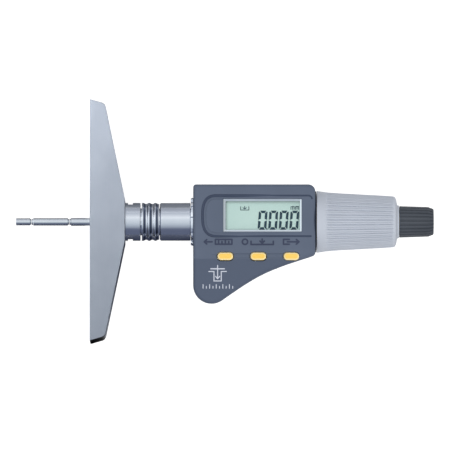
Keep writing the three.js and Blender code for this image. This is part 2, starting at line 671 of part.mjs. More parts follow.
function makeHousing(group) {
  const coreInset = SHELL_DRAFT + WALL;
  let shell = loft(shellRings(1, FRONT_RIM, 0), level);
  shell = shell.subtract(loft([housingRing(-OVERRUN, coreInset), housingRing(frontInner, coreInset)], level));
  for (const [x, y] of bossPlaces) {
    shell = shell.add(upright(x, y, PART_GAP / 2, frontInner + WALL / 2, FRONT_BOSS_RADIUS));
  }
  for (const [x, y] of postPlaces) {
    shell = shell.add(upright(x, y, boardTop + SEAT, frontInner + WALL / 2, POST_RADIUS));
  }
  const pilot = SCREW_RADIUS + RUN;
  for (const [x, y] of bossPlaces) {
    shell = shell.subtract(upright(x, y, -OVERRUN, SCREW_REACH + SEAT, pilot));
  }
  for (const [x, y] of postPlaces) {
    shell = shell.subtract(upright(x, y, boardTop - OVERRUN, frontInner - WALL / 2, pilot));
  }
  const above = front + OVERRUN;
  shell = shell.subtract(aroundView(viewLength, VIEW_HEIGHT, 0, above));
  const footTop = frontInner - SEAT;
  const footBottom = footTop - KEY_FOOT_THICKNESS - KEY_TRAVEL - SEAT;
  for (const [x, y] of keyPlaces) {
    const slot = stadium(x, y, KEY_LENGTH + 2 * KEY_GAP, KEY_WIDTH + 2 * KEY_GAP);
    shell = shell.subtract(plate(slot, footBottom, above));
    const [reach, low, high] = [KEY_FOOT_REACH + KEY_GAP, KEY_FOOT_DROP + KEY_GAP, KEY_FOOT_RISE + KEY_GAP];
    shell = shell.subtract(block(x - reach, x + reach, y - low, y + high, footBottom, frontInner));
  }
  const [portHalf, portRise] = [PORT_LENGTH / 2, PORT_HEIGHT / 2];
  const port = block(
    housingLeft - OVERRUN,
    housingLeft + SHELL_DRAFT + WALL + OVERRUN,
    -PORT_DROP - portHalf,
    -PORT_DROP + portHalf,
    PORT_RISE - portRise,
    PORT_RISE + portRise,
  );
  shell = shell.subtract(port).subtract(panelGroove()).subtract(barrelHole()).subtract(driveHole());
  piece(group, "housing_front", shell, housingPlastic);

  let rear = loft(shellRings(-1, REAR_RIM, SHELL_DRAFT + REAR_DRAFT), level);
  rear = rear.subtract(loft([housingRing(backInner, coreInset), housingRing(OVERRUN, coreInset)], level));
  for (const [x, y] of bossPlaces) {
    rear = rear.add(upright(x, y, backInner - WALL / 2, -PART_GAP / 2, REAR_BOSS_RADIUS));
  }
  for (const x of [scaleLeft + SCALE_RIB_INSET, scaleRight - SCALE_RIB_INSET]) {
    const [low, high, half] = [scaleFace - RUN, scaleFace + BOARD_THICKNESS + RUN, SCALE_RIB / 2];
    rear = rear.add(block(x - half, x + half, low, high, backInner - WALL / 2, SCALE_BOTTOM - SEAT));
  }
  for (const [x, y] of bossPlaces) {
    const headBottom = -front + SCREW_SUNK + SCREW_HEAD_DEPTH + SEAT;
    rear = rear.subtract(upright(x, y, -front - OVERRUN, OVERRUN, SCREW_RADIUS + RUN));
    rear = rear.subtract(upright(x, y, -front - OVERRUN, headBottom, SCREW_HEAD_RADIUS + RUN));
  }
  const coverHole = upright(cell.x, cell.y, -front - OVERRUN, backInner + OVERRUN, coverRadius + RUN, ROUND);
  rear = rear.subtract(coverHole).subtract(barrelHole()).subtract(driveHole());
  piece(group, "housing_rear", rear, housingPlastic);

  bossPlaces.forEach(([x, y], i) => {
    const [headStart, headEnd] = [-front + SCREW_SUNK, -front + SCREW_SUNK + SCREW_HEAD_DEPTH];
    const shank = upright(x, y, headStart, SCREW_REACH, SCREW_RADIUS);
    const head = upright(x, y, headStart, headEnd, SCREW_HEAD_RADIUS);
    const slotEnd = headStart + SCREW_HEAD_DEPTH / 2;
    const slot = (w, h) => block(x - w / 2, x + w / 2, y - h / 2, y + h / 2, -front, slotEnd);
    const cross = slot(SCREW_HEAD_RADIUS, SCREW_SLOT).add(slot(SCREW_SLOT, SCREW_HEAD_RADIUS));
    piece(group, `housing_screw_${i + 1}`, shank.add(head).subtract(cross), springSteel);
  });
}

// A block centred on the display opening
function aroundView(length, height, z0, z1) {
  const [l, h] = [length / 2, height / 2];
  return block(viewMiddle - l, viewMiddle + l, VIEW_RISE - h, VIEW_RISE + h, z0, z1);
}

// Display: window, glass, frame, rubber connectors and board
function makeDisplay(group) {
  const windowBottom = frontInner + RUN;
  const pane = [viewLength + 2 * PANE_MARGIN, VIEW_HEIGHT + 2 * PANE_MARGIN];
  piece(
    group,
    "lcd_window",
    aroundView(viewLength - 2 * RUN, VIEW_HEIGHT - 2 * RUN, windowBottom, windowBottom + WINDOW_THICKNESS),
    clearPlastic,
  );
  piece(group, "lcd_panel", aroundView(...pane, paneBottom, paneTop), displayGlass);
  const [inner, outer] = [2 * RUN, 2 * (RUN + FRAME_WALL)];
  const frameBottom = boardTop + SEAT / 2;
  const frame = aroundView(pane[0] + outer, pane[1] + outer, frameBottom, paneTop);
  const opening = aroundView(pane[0] + inner, pane[1] + inner, 0, front);
  piece(group, "lcd_frame", frame.subtract(opening), innerPlastic);
  const stripLength = viewLength - STRIP_WIDTH;
  const stripEdge = pane[1] / 2 - SEAT;
  [["top", 1], ["bottom", -1]].forEach(([name, side]) => {
    const y = VIEW_RISE + side * (stripEdge - STRIP_WIDTH / 2);
    const [half, bottom] = [stripLength / 2, boardTop + SEAT / 2];
    const [low, high] = [y - STRIP_WIDTH / 2, y + STRIP_WIDTH / 2];
    const strip = block(viewMiddle - half, viewMiddle + half, low, high, bottom, bottom + STRIP_HEIGHT);
    piece(group, `lcd_connector_${name}`, strip, siliconeRubber);
  });
  const boardHigh = VIEW_RISE + pane[1] / 2 + RUN + FRAME_WALL;
  const blank = block(boardLeft, housingRight - BOARD_FAR, -BOARD_DROP, boardHigh, boardBottom, boardTop);
  const keepIn = SHELL_DRAFT + WALL + SEAT;
  let board = blank.intersect(loft([housingRing(0, keepIn), housingRing(front, keepIn)], level));
  postPlaces.forEach(([x, y], i) => {
    board = board.subtract(upright(x, y, boardBottom - OVERRUN, boardTop + OVERRUN, SCREW_RADIUS + SEAT));
    const headTop = boardBottom - RUN;
    const shank = upright(x, y, headTop - SCREW_HEAD_DEPTH, frontInner - WALL / 2 - SEAT, SCREW_RADIUS);
    const head = upright(x, y, headTop - SCREW_HEAD_DEPTH, headTop, SCREW_HEAD_RADIUS);
    piece(group, `board_screw_${i + 1}`, shank.add(head), springSteel);
  });
  piece(group, "display_board", board, boardLaminate);
  const chipX = flankX - SCREW_HEAD_RADIUS - CHIP_CLEAR - CHIP_LENGTH / 2;
  const chipY = -BOARD_DROP + CHIP_WIDTH / 2 + SCREW_HEAD_RADIUS;
  const chipTop = boardBottom - RUN;
  const chip = block(
    chipX - CHIP_LENGTH / 2,
    chipX + CHIP_LENGTH / 2,
    chipY - CHIP_WIDTH / 2,
    chipY + CHIP_WIDTH / 2,
    chipTop - CHIP_THICKNESS,
    chipTop,
  );
  piece(group, "processor_chip", chip, innerPlastic);
}

// Keys on their rubber mat; each is named for its place
function makeKeys(group) {
  const footTop = frontInner - SEAT;
  const footBottom = footTop - KEY_FOOT_THICKNESS;
  ["left", "middle", "right"].slice(0, KEY_COUNT).forEach((name, i) => {
    const [x, y] = keyPlaces[i];
    const ring = (z, inset) =>
      stadium(x, y, KEY_LENGTH - 2 * inset, KEY_WIDTH - 2 * inset).map((p) => new THREE.Vector3(p.x, p.y, z));
    const top = front + KEY_PROUD;
    const cap = loft([ring(footBottom, 0), ring(top - KEY_CROWN, 0), ring(top, KEY_CROWN)], level);
    const [left, right, low, high] = [x - KEY_FOOT_REACH, x + KEY_FOOT_REACH, y - KEY_FOOT_DROP, y + KEY_FOOT_RISE];
    const foot = block(left, right, low, high, footBottom, footTop);
    piece(group, `key_${name}`, cap.add(foot), keyRubber);
  });
  const matTop = footBottom - KEY_TRAVEL - RUN;
  const [first, last] = [keyPlaces[0][0], keyPlaces.at(-1)[0]];
  const matLow = -BOARD_DROP;
  const mat = block(
    first - KEY_FOOT_REACH,
    last + KEY_FOOT_DROP,
    matLow,
    matLow + MAT_WIDTH,
    boardTop + SEAT,
    matTop,
  );
  piece(group, "key_mat", mat, siliconeRubber);
}

// Battery bay in the back
const coverRadius = CELL_RADIUS + SEAT + HOLDER_WALL - RUN;
const coverBottom = -front + COVER_RECESS;
const coverTop = coverBottom + COVER_THICKNESS;
const coverSealTop = coverTop + RUN + COVER_SEAL_THICKNESS;
const cellBottom = coverTop + SEAT;
const cellTop = cellBottom + CELL_THICKNESS;

function makeBattery(group) {
  const at = (z0, z1, radius, sides = INNER) => upright(cell.x, cell.y, z0, z1, radius, sides);
  const slotAcross = [COIN_SLOT_LENGTH / 2, COIN_SLOT_WIDTH / 2];
  const coinSlot = block(
    cell.x - slotAcross[0],
    cell.x + slotAcross[0],
    cell.y - slotAcross[1],
    cell.y + slotAcross[1],
    coverBottom - OVERRUN,
    coverBottom + COIN_SLOT_DEPTH,
  );
  const cover = at(coverBottom, coverTop, coverRadius, ROUND).subtract(coinSlot);
  piece(group, "battery_cover", cover, housingPlastic);
  const sealOuter = coverRadius - RUN;
  const sealHole = at(coverTop, cellTop, sealOuter - COVER_SEAL_WIDTH);
  const seal = at(coverTop + RUN, coverSealTop, sealOuter).subtract(sealHole);
  piece(group, "battery_cover_seal", seal, blackRubber);
  piece(group, "battery", at(cellBottom, cellTop, CELL_RADIUS - RUN), hardenedSteel);
  const contactGap = CONTACT_THICKNESS + 2 * RUN;
  const holderTop = cellTop + contactGap + HOLDER_ROOF;
  const holder = at(coverSealTop + RUN, holderTop, CELL_RADIUS + SEAT + HOLDER_WALL)
    .subtract(at(coverTop, cellTop + contactGap, CELL_RADIUS + SEAT))
    .subtract(at(cellTop, holderTop + OVERRUN, HOLDER_EYE, SMALL));
  piece(group, "battery_holder", holder, innerPlastic);
  [["plus", 1], ["minus", -1]].forEach(([name, side]) => {
    const y = cell.y + (side * CONTACT_SPACING) / 2;
    const [l, w] = [CONTACT_LENGTH / 2, CONTACT_WIDTH / 2];
    const z = cellTop + RUN;
    const strip = block(cell.x - l, cell.x + l, y - w, y + w, z, z + CONTACT_THICKNESS);
    piece(group, `battery_contact_${name}`, strip, brass);
  });
}

// Data socket and its rubber plug
function makePort(group) {
  const [half, rise] = [PORT_LENGTH / 2 - RUN, PORT_HEIGHT / 2 - RUN];
  const plugStart = housingLeft + SHELL_DRAFT;
  const plugEnd = plugStart + PLUG_THICKNESS;
  const inPort = (x0, x1, w, h) => block(x0, x1, -PORT_DROP - w, -PORT_DROP + w, PORT_RISE - h, PORT_RISE + h);
  piece(group, "data_port_cover", inPort(plugStart, plugEnd, half, rise), blackRubber);
  const socketStart = plugEnd + SEAT;
  const contacts = inPort(socketStart - OVERRUN, socketStart + SOCKET_DEPTH / 2, half - 2 * SEAT, rise / 2);
  const socket = inPort(socketStart, socketStart + SOCKET_DEPTH, half, rise).subtract(contacts);
  piece(group, "data_connector", socket, innerPlastic);
}

// Scale: an arm and slider on the spindle, and a board that reads them
const armPlateTop = BARREL_RADIUS + SEAT + ARM_PLATE;
const sliderTop = armPlateTop + RUN + SLIDER_THICKNESS;
const scaleFace = sliderTop + SEAT;
const scaleLeft = housingLeft + SCALE_NEAR;
const scaleRight = housingRight - SCALE_FAR;

function makeScale(fixed, moving) {
  const board = block(scaleLeft, scaleRight, scaleFace, scaleFace + BOARD_THICKNESS, SCALE_BOTTOM, SCALE_TOP);
  piece(fixed, "scale_board", board, boardLaminate);
  const [armEnd, halfArm, halfSlider] = [armStart + ARM_LENGTH, ARM_WIDTH / 2, SLIDER_HEIGHT / 2];
  const pocketDepth = STEM_RADIUS / 2 + SEAT;
  const stem = block(armStart, armEnd, pocketDepth, armPlateTop, -halfArm, halfArm);
  const top = block(armStart, armEnd, armPlateTop - ARM_PLATE, armPlateTop, -halfSlider, halfSlider);
  piece(moving, "scale_arm", stem.add(top), brass);
  const slider = block(armStart, armEnd, armPlateTop + RUN, sliderTop, -halfSlider, halfSlider);
  piece(moving, "scale_slider", slider, boardLaminate);
}

// Spindle with its rods and lead screw
function makeSpindle(group) {
  const tipEnd = -TRAVEL + ROD_TIP_LENGTH;
  const tip = turned([
    [-TRAVEL, 0],
    [-TRAVEL, ROD_TIP_RADIUS - ROD_CHAMFER],
    [-TRAVEL + ROD_CHAMFER, ROD_TIP_RADIUS],
    [tipEnd - ROD_CHAMFER, ROD_TIP_RADIUS],
    [tipEnd, ROD_TIP_RADIUS - ROD_CHAMFER],
    [tipEnd, 0],
  ], SMALL);
  piece(group, "measuring_tip", tip, hardenedSteel);
  const necked = (from, to, radius) => {
    const neckEnd = from + ROD_NECK;
    return turned([
      [from, 0],
      [from, radius - ROD_NECK_STEP],
      [neckEnd, radius - ROD_NECK_STEP],
      [neckEnd, radius],
      [to - ROD_CHAMFER, radius],
      [to, radius - ROD_CHAMFER],
      [to, 0],
    ], SMALL);
  };
  const rodStart = tipEnd + RUN;
  const rodEnd = rodStart + ROD_LENGTH;
  piece(group, "extension_rod", necked(rodStart, rodEnd, ROD_RADIUS), hardenedSteel);
  const noseStart = rodEnd + RUN;
  const stemStart = armStart - SEAT - ROD_NECK;
  const stemEnd = driveNutStart - TRAVEL - SEAT; // the stem stops short of the nut when it is drawn in
  const nose = necked(noseStart, stemStart + OVERRUN, NOSE_RADIUS);
  const armPocket = block(
    armStart - RUN,
    armStart + ARM_LENGTH + RUN,
    STEM_RADIUS / 2,
    STEM_RADIUS + OVERRUN,
    -ARM_WIDTH / 2 - SEAT,
    ARM_WIDTH / 2 + SEAT,
  );
  const stem = rod(stemStart, stemEnd, STEM_RADIUS, SMALL);
  piece(group, "spindle", nose.add(stem).subtract(armPocket), hardenedSteel);

  const screwStart = stemEnd + SEAT;
  const screwEnd = driveNutEnd + SEAT;
  const rows = Math.round(((screwEnd - screwStart) / SCREW_THREAD_LEAD) * SCREW_THREAD_STEPS);
  const rings = Array.from({ length: rows + 1 }, (_, row) => {
    const x = screwStart + ((screwEnd - screwStart) * row) / rows;
    return Array.from({ length: SCREW_THREAD_SIDES }, (_, i) => {
      const angle = (2 * Math.PI * i) / SCREW_THREAD_SIDES;
      const wave = (1 + Math.cos((2 * Math.PI * x) / SCREW_THREAD_LEAD + angle)) / 2;
      const reach = SCREW_THREAD_RADIUS - SCREW_THREAD_DEPTH * wave;
      return new THREE.Vector3(x, reach * Math.cos(angle), reach * Math.sin(angle));
    });
  });
  piece(group, "lead_screw", loft(rings, across), springSteel);
}

// Thimble, with the drive sleeve and nut that it turns
function makeThimble(fixed, group) {
  const ring = tube(housingRight, sealEnd, SEAL_RING_RADIUS, DRIVE_NECK_RADIUS + SEAT);
  piece(fixed, "thimble_seal_ring", ring, blackRubber);

  const bearingBore = BARREL_RADIUS + RUN;
  const bearingOuter = bearingBore + BEARING_WALL;
  const chamberStart = barrelEnd - CIRCLIP_LAND - CIRCLIP_THICKNESS - 2 * SEAT;
  const chamberRadius = BARREL_RADIUS - CIRCLIP_DEPTH + RUN + CIRCLIP_HEIGHT + SEAT;
  const nutSeatEnd = driveNutEnd + SEAT;
  const [lipBore, bearingSeat, chamber, screwWay] = [
    bearingBore + SEAT / 2,
    bearingOuter + SEAT / 2,
    chamberRadius,
    SCREW_THREAD_RADIUS + SEAT,
  ].map((radius) => bored(radius, INNER));
  const drive = turned([
    [driveStart, lipBore],
    [driveStart, DRIVE_NECK_RADIUS],
    [thimbleStart + SEAT, DRIVE_NECK_RADIUS],
    [thimbleStart + SEAT, DRIVE_RADIUS],
    [shoulderStart - SEAT, DRIVE_RADIUS],
    [shoulderStart - SEAT, STUB_RADIUS],
    [clipStart - RUN, STUB_RADIUS],
    [clipStart - RUN, STUB_RADIUS - CLIP_DEPTH],
    [clipStart + CLIP_THICKNESS + RUN, STUB_RADIUS - CLIP_DEPTH],
    [clipStart + CLIP_THICKNESS + RUN, STUB_RADIUS],
    [stubEnd, STUB_RADIUS],
    [stubEnd, screwWay],
    [nutSeatEnd, screwWay],
    [nutSeatEnd, chamber],
    [chamberStart, chamber],
    [chamberStart, bearingSeat],
    [driveStart + DRIVE_LIP, bearingSeat],
    [driveStart + DRIVE_LIP, lipBore],
  ], INNER);
  piece(group, "drive_sleeve", drive, brass);
  const bearing = tube(driveStart + DRIVE_LIP + RUN, chamberStart, bearingOuter, bearingBore, INNER);
  piece(group, "bearing_bush", bearing, brass);
  const nut = tube(driveNutStart, driveNutEnd, chamberRadius - SEAT, SCREW_THREAD_RADIUS + RUN, INNER);
  piece(group, "drive_nut", nut, brass);

  const shoulder = thimbleEnd - SHOULDER_LENGTH;
  const ribStart = thimbleStart + RIB_START;
  const endBand = SHOULDER_LENGTH * (1 - SHOULDER_MID_SHARE) * SHOULDER_MID_SHARE;
  const sections = [
    { x: thimbleStart, radius: THIMBLE_RADIUS, depth: 0 },
    { x: ribStart, radius: THIMBLE_RIB_RADIUS, depth: 0 },
    { x: ribStart + RIB_RUNOUT, radius: THIMBLE_RIB_RADIUS, depth: RIB_DEPTH },
    { x: (ribStart + shoulder) / 2, radius: THIMBLE_WAIST_RADIUS, depth: RIB_DEPTH },
    { x: shoulder, radius: THIMBLE_SHOULDER_RADIUS, depth: RIB_DEPTH },
    { x: shoulder + SHOULDER_LENGTH * SHOULDER_MID_SHARE, radius: SHOULDER_MID_RADIUS, depth: 0 },
    { x: thimbleEnd - endBand, radius: THIMBLE_END_RADIUS, depth: 0 },
    { x: thimbleEnd, radius: THIMBLE_END_RADIUS, depth: 0 },
  ];
  const stubWay = rod(thimbleStart - OVERRUN, thimbleEnd + OVERRUN, bored(STUB_RADIUS + SEAT));
  const body = ribbed(sections, THIMBLE_RIBS)
    .subtract(rod(thimbleStart - OVERRUN, shoulderStart, bored(THIMBLE_BORE)))
    .subtract(stubWay);
  piece(group, "thimble", body, thimblePlastic);
}

// Ratchet: clutch ring, spring and clip on the drive sleeve's stub, and the knob that slips on them
function makeRatchet(thimble, group) {
  const clutchStart = knobStart + SEAT;
  const clutchEnd = clutchStart + CLUTCH_LENGTH;
  const bore = STUB_RADIUS + RUN;
  const teeth = notched(clutchStart, clutchEnd, KNOB_BORE - RUN, CLUTCH_TOOTH_DEPTH, CLUTCH_TEETH, bore);
  piece(thimble, "clutch_ring", teeth, hardenedSteel);
  const clipInner = STUB_RADIUS - CLIP_DEPTH + RUN;
  const clip = tube(clipStart, clipStart + CLIP_THICKNESS, clipInner + CLIP_HEIGHT, clipInner, INNER);
  piece(thimble, "knob_clip", clip, springSteel);

  const coil = (bore + KNOB_BORE) / 2;
  const steps = SPRING_TURNS * SPRING_STEPS;
  const run = SPRING_LENGTH - 2 * SPRING_WIRE;
  const rings = Array.from({ length: steps + 1 }, (_, i) => {
    const turn = (2 * Math.PI * i) / SPRING_STEPS;
    const x = springStart + SPRING_WIRE + (run * i) / steps;
    return Array.from({ length: SPRING_SIDES }, (_, k) => {
      const angle = (2 * Math.PI * k) / SPRING_SIDES;
      const along = x - SPRING_WIRE * Math.sin(angle);
      const reach = coil + SPRING_WIRE * Math.cos(angle);
      return new THREE.Vector3(along, reach * Math.cos(turn), reach * Math.sin(turn));
    });
  });
  const inSection = (p) => new THREE.Vector2(p.x, Math.hypot(p.y, p.z));
  piece(thimble, "clutch_spring", loft(rings, inSection), springSteel);

  const chamferStart = knobEnd - KNOB_CHAMFER_LENGTH;
  const sections = [
    { x: knobStart, radius: KNOB_FRONT_RADIUS, depth: KNOB_RIB_DEPTH },
    { x: chamferStart, radius: KNOB_END_RADIUS, depth: KNOB_RIB_DEPTH },
    { x: knobEnd - KNOB_CHAMFER / 2, radius: KNOB_END_RADIUS - KNOB_CHAMFER / 2, depth: KNOB_RIB_DEPTH / 2 },
    { x: knobEnd, radius: KNOB_END_RADIUS - KNOB_CHAMFER, depth: 0 },
  ];
  const hollow = bored(KNOB_BORE, SMALL);
  const knob = ribbed(sections, KNOB_RIBS)
    .subtract(rod(knobStart - OVERRUN, webStart, hollow, SMALL))
    .subtract(rod(webStart + KNOB_WEB, knobEnd - KNOB_END_WALL, hollow, SMALL))
    .subtract(rod(webStart - OVERRUN, webStart + KNOB_WEB + OVERRUN, bored(bore)));
  piece(group, "ratchet_knob", knob, knobPlastic);
}

const gauge = new THREE.Group();
const [body, slide, thimble, knob] = [0, 1, 2, 3].map(() => new THREE.Group());
makeBase(body);
makeNeck(body);
makeHousing(body);
makeDisplay(body);
makeKeys(body);
makeBattery(body);
makePort(body);
makeScale(body, slide);
makeSpindle(slide);
makeThimble(body, thimble);
makeRatchet(thimble, knob);
gauge.add(body, slide, thimble, knob);
gauge.position.set((TRAVEL - knobEnd) / 2, 0, front);

const part = new THREE.Group();
part.add(gauge);
export default part;
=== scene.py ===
# %% [markdown]
# # A digital depth gauge on a pale floor
# The gauge lies on its back with its display up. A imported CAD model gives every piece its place, and this lesson
# dresses it: turned steel with fine bevels, moulded shells, a ribbed thimble, rubber keys and a liquid crystal
# display. Lengths are written in millimetres, because that is how such a tool is drawn, and are turned to metres
# only where a mesh is made.

# %% Load the frame
import json
import math

import bmesh
import bpy
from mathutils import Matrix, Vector


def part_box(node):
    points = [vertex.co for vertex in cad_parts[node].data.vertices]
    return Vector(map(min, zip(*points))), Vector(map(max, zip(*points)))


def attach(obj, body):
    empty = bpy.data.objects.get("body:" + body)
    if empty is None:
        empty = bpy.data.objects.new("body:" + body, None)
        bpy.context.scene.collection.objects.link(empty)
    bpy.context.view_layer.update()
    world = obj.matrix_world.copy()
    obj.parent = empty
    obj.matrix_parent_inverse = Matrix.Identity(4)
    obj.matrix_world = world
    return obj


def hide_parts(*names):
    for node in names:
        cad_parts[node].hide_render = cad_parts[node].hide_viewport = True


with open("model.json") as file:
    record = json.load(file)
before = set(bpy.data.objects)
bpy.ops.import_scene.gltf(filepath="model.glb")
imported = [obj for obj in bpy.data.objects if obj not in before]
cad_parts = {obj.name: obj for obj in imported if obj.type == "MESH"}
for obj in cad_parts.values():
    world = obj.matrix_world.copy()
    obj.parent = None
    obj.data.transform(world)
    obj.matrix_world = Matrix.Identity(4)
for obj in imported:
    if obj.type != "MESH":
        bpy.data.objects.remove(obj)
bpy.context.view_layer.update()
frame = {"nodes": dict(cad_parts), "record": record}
MM = 0.001
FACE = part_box("measuring_base")[0].x / MM  # where the measuring face stands along X
BOTTOM, TOP = (corner.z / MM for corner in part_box("measuring_base"))
AXIS = (BOTTOM + TOP) / 2  # height of the spindle's axis


def box_mm(node):
    return [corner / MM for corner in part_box(node)]


# %% [markdown]
# ## Colour, and one way to add a shader node
# A colour picker shows sRGB, while shaders reckon in linear light, so one function turns a hex value into linear
# numbers. Another adds any node with its settings, values and links, which keeps each material short. Where another
# node is given as a value, its first output is linked.

# %% Helpers for materials
MATH, RANGE, BLEND, SPLIT = "ShaderNodeMath", "ShaderNodeMapRange", "ShaderNodeMix", "ShaderNodeSeparateXYZ"
SOFT = {"interpolation_type": "SMOOTHSTEP"}  # a range that starts and ends gently


def linear(code):
    channels = [int(code[i : i + 2], 16) / 255 for i in (1, 3, 5)]
    return (*[c / 12.92 if c <= 0.04045 else ((c + 0.055) / 1.055) ** 2.4 for c in channels], 1)


def add(tree, kind, inputs=None, **settings):
    node = tree.nodes.new(kind)
    for name, value in settings.items():
        setattr(node, name, value)
    for name, value in (inputs or {}).items():
        if isinstance(value, bpy.types.Node):
            value = value.outputs[0]
        if isinstance(value, bpy.types.NodeSocket):
            tree.links.new(value, node.inputs[name])
        else:
            node.inputs[name].default_value = value
    return node


def start_material(name):
    material = bpy.data.materials.new(name)
    material.use_nodes = True
    material.node_tree.nodes.clear()
    return material, material.node_tree


def end_material(material, tree, inputs):
    shader = add(tree, "ShaderNodeBsdfPrincipled", inputs)
    add(tree, "ShaderNodeOutputMaterial", {"Surface": shader})
    print("material", material.name)
    return material


# %% [markdown]
# ## Patterns
# Machined and moulded surfaces differ in how their fine relief runs. Turning leaves rings round the axis, grinding
# leaves straight scratches, and a spark-eroded mould leaves an even grain. All three are one noise pattern, stretched
# differently, so a single function gives the noise from the size of one speck in millimetres along each axis. Two
# recipes use it: mottled mixes two tones, and grained lets the gloss and the relief vary together. A third recipe
# turns a colour to another one past the edges that it is given, and so paints light or shade onto a surface. A finish
# is made of all of them.

# %% Recipes for a surface
def specks(tree, size, detail):
    place = add(tree, "ShaderNodeTexCoord").outputs["Object"]
    laid = add(tree, "ShaderNodeMapping", {"Vector": place, "Scale": tuple(1 / (s * MM) for s in size)})
    return add(tree, "ShaderNodeTexNoise", {"Vector": laid, "Scale": 1.0, "Detail": detail})


def mottled(tree, dark, light, size, detail=2.0):
    share = add(tree, RANGE, {"Value": specks(tree, size, detail), "From Min": 0.3, "From Max": 0.7})
    return add(tree, BLEND, {0: share, 6: linear(dark), 7: linear(light)}, data_type="RGBA").outputs[2]


def grained(tree, size, roughness, wear, depth, detail=2.0):
    fine = specks(tree, size, detail)
    rough = add(tree, RANGE, {"Value": fine, "To Min": roughness - wear, "To Max": roughness + wear})
    return {"Roughness": rough, "Normal": add(tree, "ShaderNodeBump", {"Height": fine, "Distance": depth * MM})}


def own_place(tree):
    return add(tree, SPLIT, {0: add(tree, "ShaderNodeTexCoord").outputs["Object"]}).outputs


def painted_light_or_shade(tree, colour, code, *edges, **settings):
    """Paints light or shade: each edge is a value, where the painted tone starts along it and where it is full."""
    shares = [add(tree, RANGE, {"Value": value, "From Min": start, "From Max": full}, **settings)
              for value, start, full in edges]
    share = shares[0] if len(shares) == 1 else add(tree, MATH, dict(enumerate(shares)), operation="MULTIPLY")
    return add(tree, BLEND, {0: share, 6: colour, 7: linear(code)}, data_type="RGBA").outputs[2]


def finished(name, tones, grain, shader, painted_light=None):
    material, tree = start_material(name)
    colour = mottled(tree, *tones)
    if painted_light:
        colour = painted_light(tree, colour)
    return end_material(material, tree, {"Base Color": colour, **shader, **grained(tree, *grain)})


# %% [markdown]
# ## Metals
# The base is tool steel, surface ground: pale, a little blue, with scratches along its length that blur what it
# mirrors, and its two ends are painted near black as painted shade. The neck is turned steel under satin chrome
# plate, which mirrors the lamp as one bright band, and the back of each ridge of the lock ring is painted darker as
# painted shade. The rods are ground and lapped, and the bezel of the display is plastic with a thin metal coat.

# %% Metal finishes
def metal(name, dark, light, roughness, size, depth, wear=0.06, metallic=1.0, painted_light=None):
    return finished(name, (dark, light, (9, 14, 9), 3), (size, roughness, wear, depth), {"Metallic": metallic}, painted_light)


RIDGE_PITCH, RIDGE_BACK = 2.55, 22.55  # from one ridge of the lock ring to the next, and the back of the first


# Painted shade: the back flank of each ridge of the lock ring is painted darker.
def painted_shade_behind_ridges(tree, colour):
    turns = 2 * math.pi / RIDGE_PITCH
    angle = add(tree, MATH, {
        0: own_place(tree)["X"], 1: turns / MM, 2: -turns * (FACE + RIDGE_BACK),
    }, operation="MULTIPLY_ADD")
    wave = add(tree, MATH, {0: angle}, operation="COSINE")
    return painted_light_or_shade(tree, colour, "#5c667c", (wave, 0.1, 0.75), **SOFT)


def painted_shade_on_ends(tree, colour):
    """Paints the two ends of the bar near black, as painted shade."""
    facing = add(tree, SPLIT, {0: add(tree, "ShaderNodeNewGeometry").outputs["Normal"]}).outputs["Y"]
    return painted_light_or_shade(tree, colour, "#17191d", (add(tree, MATH, {0: facing}, operation="ABSOLUTE"), 0.55, 0.75))


GROUND_STEEL = metal("Tool steel, surface ground", "#898e97", "#8f949d", 0.5, (0.25, 6, 3), 0.004,
                     painted_light=painted_shade_on_ends)
CHROME = metal("Satin chrome plate on turned steel", "#cbcfd7", "#d1d5dc", 0.16, (0.3, 8, 8), 0.0015, 0.03)
CHROME_PAINTED_SHADE = metal("Satin chrome plate, oily behind the ridges", "#cbcfd7", "#d1d5dc", 0.2, (0.3, 8, 8), 0.0015,
                     0.03, painted_light=painted_shade_behind_ridges)
LAPPED_STEEL = metal("Hardened steel, ground and lapped", "#cbcfd5", "#d4d8dc", 0.2, (0.3, 5, 5), 0.001, 0.03)
BRASS = metal("Free-cutting brass, turned", "#a88a4c", "#b99a58", 0.3, (0.3, 6, 6), 0.003)
ZINC_STEEL = metal("Zinc-plated steel, rolled", "#8b9097", "#9ba1a9", 0.32, (0.6, 0.6, 0.6), 0.004)
BEZEL = metal("Vapour-coated plastic bezel", "#d2dae1", "#dbe2e8", 0.3, (0.6, 0.6, 0.6), 0.002, 0.04, 0.8)

# %% [markdown]
# ## Plastics and rubbers
# The shells are moulded ABS with a spark-eroded grain. The real grain is about 0.1 mm, too fine for this picture, so
# it is drawn at 0.35 mm. The thimble is a pale satin nylon, the knob a dark one, and the keys are silicone rubber.

# %% Moulded finishes
def moulded(name, dark, light, roughness, grain, depth, specular=0.5, painted_light=None):
    relief = ((grain,) * 3, roughness, 0.06, depth, 3)
    return finished(name, (dark, light, (16, 16, 16)), relief, {"Specular IOR Level": specular}, painted_light)


def painted_shade_below_crease(tree, colour):
    """Paints the lower plane past the crease darker as painted shade, and only on the face."""
    place = own_place(tree)
    return painted_light_or_shade(tree, colour, "#505a6d", (place["Y"], -15.7 * MM, -16.6 * MM),
                   (place["Z"], AXIS * MM, (AXIS + 10) * MM), **SOFT)


def painted_highlight_on_shoulder(tree, colour):
    """Paints the rounded shoulder of a key paler than its top, as a painted highlight."""
    return painted_light_or_shade(tree, colour, "#ffe9ae", (own_place(tree)["Z"], 26.175 * MM, 26.03 * MM), **SOFT)


